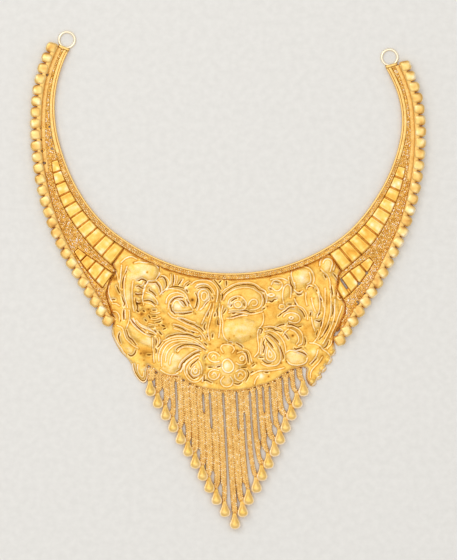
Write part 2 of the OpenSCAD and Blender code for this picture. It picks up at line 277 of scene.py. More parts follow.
polished_gold = gold_finish(
    "polished_gold", PINK_GOLD, roughness=0.34, mottle=0.12, hammer=0.15, hammer_size=0.0012
)
rim = new_piece()
neck_bar(
    rim, NECK_ENDS, RIM_STEPS, lambda a: smooth(NECKLINE, a), lambda a: smooth(NECKLINE, a) + RIM_WIDTH + PLAY,
    (0, RIM_HEIGHT), RIM_PAINTED_SHADES,
)
finish_piece(rim, "neck_rim_wire", polished_gold, "polished_gold", "neck_rim")

# Inner braid: narrow band beside the rim, covered in gold grains down the front and plain up the arms.
# The grains are melted scrap, set in rows on the strip and soldered down all at once.
BRAID_TOP = 1.4
ARM_STEPS = 240
GRAINED = (-77, 75)
GRAIN = 0.36
GRAIN_ROW = 1.8 * GRAIN
GRAIN_STEP = 2.05 * GRAIN
GRAIN_STRAY = 0.06
GRAIN_TURN = 0.1
GRAIN_SHIFT = 0.3
GRAIN_SIZES = (0.8, 1.15)
GRAIN_LENGTHS = (1, 1.3)
GRAIN_TONES = (0.58, 0.68, 0.78, 0.92)
GRAIN_FOOT_SHADE = 0.25
STRIP_HEIGHTS = (1.1, 1.65)
# Painted shade at the foot of the plain strips up the arms, and a painted highlight on their crown
STRIP_PAINTED_SHADES = (0.5, 0.62)
random.seed(7)

ball = new_piece()
bmesh.ops.create_uvsphere(ball, u_segments=7, v_segments=4, radius=1)
grain_mesh = to_mesh(ball, "grain")
GRAIN_SHAPE = np.array([point.co for point in grain_mesh.vertices])


def grain(piece, spot, size, turn, tone):
    """Small round grain, painted darker towards its foot as shade."""
    x, y, z = (GRAIN_SHAPE * size).T
    turned = np.array([x * math.cos(turn) - y * math.sin(turn), x * math.sin(turn) + y * math.cos(turn), z]).T
    grain_mesh.vertices.foreach_set("co", (turned + spot).ravel())
    # Painted shade, deepening from the grain's crown to its foot
    foot_shade = GRAIN_FOOT_SHADE * (1 - GRAIN_SHAPE[:, 2])
    grain_mesh.attributes["shade"].data.foreach_set("value", tone - foot_shade)
    piece.from_mesh(grain_mesh)


def stray(most):
    """Random value from minus most to most."""
    return random.uniform(-most, most)


grain_gold = gold_finish("grain_gold", YELLOW_GOLD, roughness=0.38, mottle=0.3, hammer=0.2, hammer_size=0.0011)
wire_gold = gold_finish("wire_gold", PINK_GOLD, roughness=0.4, mottle=0.5, hammer=0.6, hammer_size=0.0007)
neck_grain_gold = gold_finish(
    "neck_grain_gold", PINK_GOLD, roughness=0.38, mottle=0.24, hammer=0.2, hammer_size=0.0011
)
braid_gold = gold_finish(
    "braid_gold", YELLOW_GOLD, roughness=0.42, mottle=0.2, hammer=0.4, hammer_size=0.0009, level=0.57
)
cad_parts["inner_braid"].material_slots[0].material = braid_gold

inner_grains = new_piece()
angle = GRAINED[0]
while angle < GRAINED[1]:
    low = smooth(NECKLINE, angle) + RIM_WIDTH + PLAY + GRAIN
    high = smooth(NECKLINE, angle, 2) - GRAIN
    rows = max(2, round((high - low) / GRAIN_ROW) + 1)
    for row in range(rows):
        radius = between(low, high, row / (rows - 1)) + stray(GRAIN_STRAY)
        size = GRAIN * random.uniform(*GRAIN_SIZES)
        spot = around(radius, angle + stray(GRAIN_TURN) + GRAIN_SHIFT * (row % 2), BRAID_TOP)
        length = size * random.uniform(*GRAIN_LENGTHS)
        grain(inner_grains, spot, (size, length, size), random.uniform(0, 3.1), random.choice(GRAIN_TONES))
    angle += math.degrees(GRAIN_STEP / low)
finish_piece(inner_grains, "inner_braid_grains", neck_grain_gold, "granulated_gold")

inner_strips = new_piece()
for ends in ((NECK_ENDS[0], GRAINED[0]), (GRAINED[1], NECK_ENDS[1])):
    neck_bar(
        inner_strips, ends, ARM_STEPS, lambda a: smooth(NECKLINE, a) + RIM_WIDTH + 0.08,
        lambda a: smooth(NECKLINE, a, 2) - 0.06, STRIP_HEIGHTS, STRIP_PAINTED_SHADES, sides=10,
    )
finish_piece(inner_strips, "inner_braid_strips", wire_gold, "granulated_gold")

# Box links: rows of little gold boxes side by side on a strip, down both arms.
# Each is folded from sheet, soldered shut, and its top is pressed and faceted to catch the light.
LINK_PITCH = 3.72
LINK_COUNT = 10
LINK_GAP = 0.14
LINK_TOP = 1.9
LINK_CELLS = 14
FLAT_REACH = 0.92
EDGE_REACH = 0.999
DENT_DEPTH = 0.3
DENT_TILT = 0.05
BAND_WIDTH = 0.07
GLINT_WIDTH = 0.12
STRIP_TOP = 1.35
# Painted shade of the strip down in the seams between the box links, darker at its foot
ROW_PAINTED_SHADES = (0.3, 0.42)
ROW_SECTION = {"square": 0.3, "sides": 8}
UPPER_RADIUS = 66
LOWER_RADIUS = 74
PANEL_ENDS = (-37.8, 36)

# Columns: angle, radius of the outer braid's inner edge
BRAID_LEFT = [
    (-75.2, 66.5), (-70, 67.9), (-60, 69.1), (-50, 69.4), (-37, 69.8), (-35.7, 70.8), (-35.3, 77.6),
    (-34.2, 79.7), (-32.6, 81.7), (-30.4, 84.3),
]
BRAID_RIGHT = [
    (27.6, 88.2), (29.2, 86.0), (30.8, 84.2), (31.9, 82.0), (32.1, 77.0), (33.4, 74.4), (33.9, 72.3),
    (35.2, 71.2), (40, 70.9), (47, 71.1), (54, 70.3), (61, 69.5), (68, 68.6), (73.3, 67.6),
]

# Columns: angle of each seam in the lower row, with the row's inner and outer radius there
LOWER_LEFT = [(-48.2, 73.4, 75.4), (-45, 72.7, 76.3), (-41.9, 72, 77.1), (-38.5, 71.7, 78), (-35.7, 71.6, 78.4)]
LOWER_RIGHT = [
    (31.9, 75.4, 79.8), (34.3, 72.7, 79.3), (37.7, 72.3, 78.5), (41.15, 72.8, 77.2), (44.6, 73.4, 75.8),
]
SLOT_ANGLE = 34.3
SLOT_WIDTH = 0.7
SLOT_FOOT = 77.1

# Columns: angle, radius and width of a small see-through gap
GAPS = [
    (-102.2, 67.3, 0.9), (-85.8, 65.2, 1.1), (-82.3, 65.2, 1.2), (-78.8, 65.4, 1.3), (-74.9, 69.1, 0.9),
    (34.5, 83.2, 1.0), (37.6, 78.3, 1.1), (41.1, 77.1, 1.1),
]

# Columns: reach from the middle of a box link's top, change of painted shade there, lighter in the outer band
# and darker in the inner one
BOX_BANDS = [(0.78, 0.14), (0.62, -0.1)]

box_gold = gold_finish("box_gold", YELLOW_GOLD, roughness=0.34, mottle=0.34, hammer=0.3, hammer_size=0.0016)


def lookup(table, at, column=1):
    """Value of a table's column on straight lines through its rows."""
    return float(np.interp(at, [row[0] for row in table], [row[column] for row in table]))


def beside_gap(angle):
    """1 at the angle of a see-through gap and 0 away from it."""
    return max(math.exp(-(((angle - gap[0]) / 0.5) ** 4)) for gap in GAPS)


def drop_edge(piece):
    """Turn the open edges of a sheet down to the floor, and give the walls that this makes."""
    walls = bmesh.ops.extrude_edge_only(piece, edges=[edge for edge in piece.edges if edge.is_boundary])["geom"]
    for part in walls:
        if isinstance(part, bmesh.types.BMVert):
            part.co.z = 0
    return walls


def box_link(piece, corners):
    """One box with a dent and two painted glints, between four corners, inner then outer for each side."""
    dent = random.uniform(-0.5, 0.9)
    base = random.uniform(-0.05, 0.06)
    middle = sum(corners, Vector()) / len(corners)
    # Two painted glints of light on the box's top, each with its place across and along and its strength
    glints = [(stray(0.7), side * random.uniform(0.3, 0.75), random.uniform(0.12, 0.32)) for side in (-1, 1)]

    def place(u, v):
        x, y = 2 * u - 1, 2 * v - 1
        reach = max(abs(x), abs(y))
        lift = 0 if reach > EDGE_REACH else 1 - max(0, (reach - FLAT_REACH) / (1 - FLAT_REACH)) ** 2
        sink = dent * math.exp(-((x * 1.6) ** 2 + (y * 1.4) ** 2))
        spot = corners[0].lerp(corners[1], v).lerp(corners[2].lerp(corners[3], v), u)
        for gap_angle, gap_radius, gap_width in GAPS:
            while (spot - around(gap_radius, gap_angle)).length < gap_width / 2:
                spot = spot.lerp(middle, 0.03)
        spot.z = between(STRIP_TOP, LINK_TOP, lift) - sink * DENT_DEPTH + DENT_TILT * x * dent
        # Painted shade on the bevelled edge and in the dent, and a random tone for each box
        tone = 0.42 + 0.13 * lift + base - 0.06 * sink
        for at, change in BOX_BANDS:
            tone += change * math.exp(-(((reach - at) / BAND_WIDTH) ** 2))
        # Painted highlights of the two glints
        for across, along, glint in glints:
            tone += glint * math.exp(-((x - across) ** 2 + (y - along) ** 2) / GLINT_WIDTH)
        return spot, tone

    bent_grid(piece, LINK_CELLS, LINK_CELLS, place)
    rims = [part for part in drop_edge(piece) if isinstance(part, bmesh.types.BMEdge) and part.is_boundary]
    bmesh.ops.holes_fill(piece, edges=rims, sides=0)


def upper_row(start, braid, name, node):
    """Row of box links beside the inner braid, and the strip under it."""
    row = new_piece()
    groove = math.degrees(LINK_GAP / 2 / UPPER_RADIUS)
    for i in range(LINK_COUNT):
        corners = []
        for angle in (start + i * LINK_PITCH + groove, start + (i + 1) * LINK_PITCH - groove):
            corners.append(around(smooth(NECKLINE, angle, 2) + 0.06, angle))
            corners.append(around(lookup(braid, angle) - 0.03, angle))
        box_link(row, corners)
    ends = (start - 0.05, start + LINK_COUNT * LINK_PITCH + 0.05)
    neck_bar(
        row, ends, 60, lambda a: smooth(NECKLINE, a, 2) - 0.03, lambda a: lookup(braid, a) + 0.15,
        (0, STRIP_TOP), ROW_PAINTED_SHADES, **ROW_SECTION,
    )
    finish_piece(row, name, box_gold, "box_gold", node)


def lower_row(seams, name, node):
    """Shorter row of box links where the arm widens, on a strip that also closes the slot's outer end."""
    row = new_piece()
    for low, high in zip(seams, seams[1:]):
        corners, ends = [], []
        for seam, side in ((low, 1), (high, -1)):
            wide = SLOT_WIDTH if seam[0] == SLOT_ANGLE else LINK_GAP
            angle = seam[0] + side * math.degrees(wide / 2 / LOWER_RADIUS)
            corners.append(around(seam[1] + 0.03, angle))
            corners.append(around(seam[2] - 0.1, angle))
            ends.append(angle if wide == SLOT_WIDTH else seam[0])
        box_link(row, corners)
        neck_bar(
            row, ends, 12, lambda a: lookup((low, high), a) - 0.3,
            lambda a: lookup((low, high), a, 2) + 0.25 - 1.3 * beside_gap(a), (0, STRIP_TOP), ROW_PAINTED_SHADES,
            **ROW_SECTION,
        )
        if low[0] == SLOT_ANGLE:
            slot_side = math.degrees(SLOT_WIDTH / 2 / LOWER_RADIUS)
            neck_bar(
                row, (low[0] - slot_side, low[0] + slot_side), 3, lambda a: SLOT_FOOT, lambda a: low[2] + 0.2,
                # Painted shade of the slot's closed end, darker at its foot
                (0, STRIP_TOP), (0.3, 0.5), **ROW_SECTION,
            )
    finish_piece(row, name, box_gold, "box_gold", node)


upper_row(PANEL_ENDS[0] - LINK_COUNT * LINK_PITCH, BRAID_LEFT, "left_box_links", "tile_row_left")
upper_row(PANEL_ENDS[1], BRAID_RIGHT, "right_box_links", "tile_row_right")
lower_row(LOWER_LEFT, "left_lower_box_links", "lower_tiles_left")
lower_row(LOWER_RIGHT, "right_lower_box_links", "lower_tiles_right")

# Outer braids: bands between the box links and the beads, thick with grains and short bits of wire.
# They widen towards the panel. Up the arms their outer side is one smooth half-round wire.
BEAD_LENGTH = 3.7
GALLERY = BEAD_LENGTH + 0.5
SCRAP = 0.33
SCRAP_ROW = 0.64
SCRAP_STEP = 0.62
SCRAP_STRAY = 0.14
SCRAP_SIZES = (0.8, 1.25)
SCRAP_LENGTHS = (1, 1.1, 1.3, 1.9)
SCRAP_TONES = (0.56, 0.66, 0.74, 0.8, 0.95)
WIRE_WIDTH = 1.3
WIRE_HEIGHTS = (1.1, 1.7)
# Painted shade at the foot of the half-round wire and a painted highlight on its crown
WIRE_PAINTED_SHADES = (0.36, 0.47)

# Columns: angle, radius of the bead tips
TIPS_LEFT = [
    (-114, 70.4), (-100, 71.7), (-90, 72.1), (-80, 73.0), (-70, 74.6), (-60, 76.9), (-50, 79.7), (-42, 82.4),
    (-36, 85.4), (-30, 89.4),
]
TIPS_RIGHT = [
    (26, 94.4), (33, 88.9), (40, 85.0), (48, 81.3), (56, 78.8), (65, 76.2), (75, 74.0), (85, 72.44),
    (95, 71.14), (109, 68.2),
]

for node in ("outer_braid_left", "outer_braid_right"):
    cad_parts[node].material_slots[0].material = braid_gold


def in_lower_row(seams, radius, angle):
    """Whether a grain would lie on the lower row of box links."""
    if not seams[0][0] - 0.15 < angle < seams[-1][0] + 0.15:
        return False
    return lookup(seams, angle) - 0.45 < radius < lookup(seams, angle, 2) + 0.3


def at_gap(radius, angle):
    """Whether a grain would reach into a see-through gap."""
    spot = around(radius, angle)
    return any((spot - around(r, a)).length < w / 2 + 0.3 for a, r, w in GAPS)


def braid_grains(first, last, row_end, braid, tips, seams, wire_from, name):
    """Grains and bits of wire from the inner braid or the box links out to the gallery, or to its wire."""
    made = new_piece()
    angle = first
    while angle < last:
        past_row = abs(angle) > abs(row_end)
        low = (smooth(NECKLINE, angle, 2) + PLAY if past_row else lookup(braid, angle)) + 0.35
        high = smooth(tips, angle) - GALLERY - PLAY - 0.3
        if abs(angle) > wire_from:
            high -= WIRE_WIDTH
        count = max(1, round((high - low) / SCRAP_ROW) + 1)
        for k in range(count):
            radius = (low + high) / 2 if count == 1 else between(low, high, k / (count - 1))
            radius += stray(SCRAP_STRAY)
            here = angle + stray(SCRAP_STRAY)
            size = SCRAP * random.uniform(*SCRAP_SIZES)
            length = size * random.choice(SCRAP_LENGTHS)
            turn = math.radians(here) + stray(1.2)
            tone = random.choice(SCRAP_TONES)
            if in_lower_row(seams, radius, here) or at_gap(radius, here):
                continue
            grain(made, around(radius, here, BRAID_TOP), (length, size, size), turn, tone)
        angle += math.degrees(SCRAP_STEP / high)
    finish_piece(made, name, grain_gold, "granulated_gold")


def edge_wire(first, last, tips, name):
    """Half-round wire along the gallery."""
    wire = new_piece()
    neck_bar(
        wire, (first, last), ARM_STEPS, lambda a: smooth(tips, a) - GALLERY - PLAY - 1.45,
        lambda a: smooth(tips, a) - GALLERY + 0.25 - beside_gap(a), WIRE_HEIGHTS, WIRE_PAINTED_SHADES, sides=10,
    )
    finish_piece(wire, name, wire_gold, "granulated_gold")


braid_grains(NECK_ENDS[0], -30.7, -75, BRAID_LEFT, TIPS_LEFT, LOWER_LEFT, 72, "left_braid_grains")
braid_grains(27.9, NECK_ENDS[1], 73.2, BRAID_RIGHT, TIPS_RIGHT, LOWER_RIGHT, 70, "right_braid_grains")
edge_wire(NECK_ENDS[0], -72, TIPS_LEFT, "left_braid_wire")
edge_wire(70, NECK_ENDS[1], TIPS_RIGHT, "right_braid_wire")

# Edge beads: 27 round-ended beads on each arm, side by side on a gallery strip.
# They are raised hollow from sheet gold, lightly hammered and burnished, and soldered to the strip.
BEAD_WIDTH = 3.85
BEAD_HEIGHT = 3.4
BEAD_COUNT = 27
BEAD_CORNERS = 2.6
INNER_CORNERS = 5.0
BEAD_SIDES = 0.8
BEAD_DENT = 0.16
TONGUE = 0.55
NOTCH = 2.3
GALLERY_HEIGHTS = (BEAD_HEIGHT / 2 - 1.0, BEAD_HEIGHT / 2 + 1.2)
# Painted shade at the foot of the gallery strip and a painted highlight on its crown
GALLERY_PAINTED_SHADES = (0.36, 0.46)

bead_gold = gold_finish("bead_gold", PINK_GOLD, roughness=0.36, mottle=0.3, hammer=0.5, hammer_size=0.0013)


def bead_angles(tips, first, pitch):
    """Angles of beads a pitch apart along the line through their middles."""
    found = [first]
    while len(found) < BEAD_COUNT:
        at = found[-1]
        radius = smooth(tips, at) - BEAD_LENGTH / 2
        rise = math.degrees((smooth(tips, at + 1) - smooth(tips, at - 1)) / 2)
        found.append(at + math.degrees(pitch / math.hypot(radius, rise)))
    return found


def edge_beads(tips, first, pitch, ends, name, node):
    """Gallery strip of an arm, with its beads. Each is a ball squared at its corners and dented by noise."""
    made = new_piece()
    shade = made.verts.layers.float["shade"]
    neck_bar(
        made, ends, ARM_STEPS, lambda a: smooth(tips, a) - GALLERY - PLAY + 0.5 * beside_gap(a),
        lambda a: smooth(tips, a) - NOTCH, GALLERY_HEIGHTS, GALLERY_PAINTED_SHADES,
    )
    for at in bead_angles(tips, first, pitch):
        middle = around(smooth(tips, at) - BEAD_LENGTH / 2, at, BEAD_HEIGHT / 2)
        turn = Matrix.Rotation(math.radians(at), 3, "Z")
        for point in bmesh.ops.create_uvsphere(made, u_segments=24, v_segments=14, radius=1)["verts"]:
            across, along, up = point.co
            flat = math.hypot(across, along)
            if flat > 0.001:
                across, along = across / flat, along / flat
            corners = BEAD_CORNERS if along < 0 else INNER_CORNERS
            corner = max(0.01, abs(across) ** corners + abs(along) ** corners) ** (-1 / corners)
            wide = between(BEAD_WIDTH, abs(pitch), min(1, max(0, 2 * along)))
            reach = corner * flat**0.5
            up = squared(up, BEAD_SIDES)
            dent = noise.noise(middle + Vector((across * reach, along * reach, up)))
            spot = Vector((across * reach * wide / 2, along * reach * BEAD_LENGTH / 2, 0))
            spot.y += TONGUE * max(0, along) * reach
            spot.z = up * BEAD_HEIGHT / 2 - BEAD_DENT * (1 - dent) * max(0, up)
            point.co = middle + turn @ spot
            # Painted highlight towards the bead's outer end, painted shade towards its sides, and lighter where
            # the noise dents the top less
            point[shade] = 0.62 + 0.24 * max(0, -along * flat) ** 2 - 0.08 * abs(across) * flat + 0.45 * dent
    finish_piece(made, name, bead_gold, "bead_gold", node)


edge_beads(TIPS_LEFT, -110.5, 4.08, (NECK_ENDS[0], -30), "left_beads", "edge_beads_left")
edge_beads(TIPS_RIGHT, 105, -4.12, (26.2, NECK_ENDS[1]), "right_beads", "edge_beads_right")

# End rings: round gold wire, bent to a ring and soldered to a small plate at the end of each arm.
# A cord or chain is tied to them behind the neck, so the wire is thick and worn; it is painted bright as a
# highlight, lighter on top and darker underneath.
RING_WIDTH = 6.6
RING_WIRE = 0.85
PLATE_LENGTH = 0.85
# Painted shade at the foot of the plate and a painted highlight on its top
PLATE_PAINTED_SHADES = (0.4, 0.6)


def end_ring(radius, angle, plate, plate_ends, name, node):
    """Ring about a middle at a radius and an angle, with its plate from one radius to another."""
    made = new_piece()
    middle = around(radius, angle, RING_WIRE / 2)

    def place(u, v):
        turn, section = 2 * math.pi * u, 2 * math.pi * v
        reach = RING_WIDTH / 2 - RING_WIRE / 2 + RING_WIRE / 2 * math.cos(section)
        height = RING_WIRE / 2 * math.sin(section)
        # Painted highlight on top of the wire and painted shade underneath
        tone = 0.94 + 0.1 * math.sin(section)
        return middle + Vector((reach * math.cos(turn), reach * math.sin(turn), height)), tone

    bent_grid(made, 64, 14, place)
    neck_bar(
        made, (plate, plate + math.copysign(PLATE_LENGTH, plate)), 3, lambda a: plate_ends[0],
        lambda a: plate_ends[1], (0, BRAID_TOP), PLATE_PAINTED_SHADES,
    )
    finish_piece(made, name, polished_gold, "polished_gold", node)


end_ring(64.7, -114.7, NECK_ENDS[0] - PLAY, (62.3, 66.6), "left_ring", "end_ring_left")
end_ring(62.45, 109.3, NECK_ENDS[1] + PLAY, (59.9, 64.4), "right_ring", "end_ring_right")

# Centre panel: one wide sheet of gold, pushed up from behind into a peacock, scrolls, leaves and a flower.
# Its outlines are then chased from the front with a blunt tool, and thin wires are soldered on the crests.
# A low strip of solder, painted dark as the shade down in the seam, joins it to each arm.
SHEET_TOP = 0.8
PANEL_TOP = 3.3
CELL = 0.228
FINE_REACH = 0.56
EDGE_FOOT = 0.25
DOME_TAPER = 0.28
SWELL_WIDTH = 0.9
GROOVE_WIDTH = 0.17
GROOVE_DEPTH = 0.26
LIP_AT = 0.44
LIP_WIDTH = 0.15
CREST_WIDTH = 0.24
MOTIF_WIDTH = 0.19
BESIDE_AT = 0.42
BESIDE_WIDTH = 0.17
SHADES = (0.04, 0.92)
# Painted shade of the sheet's walls down to the floor
WALL_SHADE = 0.3
SOLDER_REACH = 0.75
SOLDER_MIDDLE = 0.23
SOLDER_RISE = 0.22
# Painted shade of the solder strip, down in the seam between panel and arm
SOLDER_SHADE = 0.22

# Outline of the panel, from the left end of its hem: hem, right leaf, right seam, left seam and left leaf
HEM = [
    (-29.2, -31.0), (-25.5, -34.2), (-21.9, -35.3), (-18.3, -35.4), (-14.6, -37.5), (-10.2, -39.4),
    (-5.1, -40.4), (0.7, -40.7), (6.6, -40.2), (10.2, -39.1), (13.9, -38.2), (17.5, -36.7), (20.8, -34.3),
    (23.7, -32.8), (27.6, -31.8),
]
PANEL_RIGHT = [
    (28.7, -32.4), (28.4, -35.4), (29.4, -38), (30.8, -38.8), (32.1, -37.9), (32.2, -36.7), (33.7, -36.1),
    (34.2, -35.1), (33.8, -34.0), (35.0, -33.6), (35.9, -32.3), (35.5, -31.0), (37.0, -30.7), (38.1, -29.2),
    (37.6, -27.9), (38.6, -27.5), (39.3, -26.3), (39.0, -25.1), (38.6, -22.4), (38.9, -19.6),
]
SEAM_RIGHT = [
    (40.5, -17.2), (41.7, -14.6), (42.85, -11.7), (43.05, -9.1), (42.1, -7.3), (39.75, -3.5), (40.15, -1.5),
    (40.05, 0.6), (40.75, 2.6), (41.4, 3.3), (39.15, 6.6),
]
SEAM_LEFT = [
    (-42.4, 5.8), (-41.8, 4.75), (-41.1, 3.0), (-43.9, -2.3), (-44.5, -5.2), (-43.8, -8.1), (-42.5, -12),
]
PANEL_LEFT = [
    (-41.9, -13.4), (-41.9, -15.4), (-42.2, -17.2), (-42.3, -20), (-40.6, -23.7), (-38.8, -26.6),
    (-37, -28.3), (-35.4, -30.6), (-34.7, -33.3), (-33.3, -35.7), (-31.6, -37.4), (-30.2, -37.5),
    (-29.4, -36.4), (-29.1, -34.4), (-29.2, -31.6),
]

# Columns: x, y, length, width, turn and height of each raised dome
DOMES = [
    (-30.2, 3.0, 15, 10.2, 35, 3.0), (-37.0, -7.0, 27, 4.6, 88, 2.4), (-25.4, -4.2, 13, 7.0, 60, 2.2),
    (-18.4, -8.6, 13.5, 11.5, -35, 3.0), (-9.6, -8.4, 17, 7.4, 97, 2.6), (-4.2, -9.6, 17, 2.6, 84, 2.2),
    (5.4, -6.6, 15.5, 10.4, 8, 2.8), (4.6, -18.2, 17.5, 9.6, 2, 3.3), (-0.8, -31.8, 14.5, 12.5, 0, 3.2),
    (-20.4, -29.2, 15, 14, 20, 3.3), (-11.4, -31.6, 9, 6.6, 50, 2.8), (-31.8, -19.4, 16, 6.6, -42, 2.4),
    (-38.4, -20.4, 11, 5.6, -62, 2.2), (-32.0, -31.8, 11.5, 6, -68, 2.4), (15.0, -25.8, 12.5, 8.6, 108, 2.8),
    (22.8, -20.0, 11, 6, -30, 2.4), (23.0, -13.2, 10.5, 7.2, 15, 2.8), (18.6, -4.8, 12.5, 7, 25, 2.4),
    (26.8, 1.4, 11, 7.8, 30, 3.0), (36.0, 5.2, 9, 7.0, 60, 3.1), (38.0, -8.6, 19, 4.4, 96, 2.4),
    (32.0, -10.6, 15.5, 5.6, 85, 2.4), (25.6, -27.8, 10, 8.6, 10, 3.0), (33.2, -24.6, 12.5, 7.4, 62, 2.4),
    (-31.6, -1.2, 2.6, 2.6, 0, 2.1), (-32.8, -3.9, 2.8, 2.8, 0, 2.1), (-32.7, -7.1, 2.8, 2.8, 0, 2.1),
    (-32, -10.1, 2.6, 2.6, 0, 2.0), (19.6, -9.7, 3, 2.6, 0, 2.2), (37.9, -26.4, 2.8, 2.4, 55, 2.3),
    (36.6, -29.2, 3, 2.6, 50, 2.3), (34.5, -32.2, 3, 2.6, 55, 2.3), (32.8, -34.9, 2.8, 2.4, 60, 2.2),
    (30.6, -37.2, 2.8, 2.6, 60, 2.2),
]
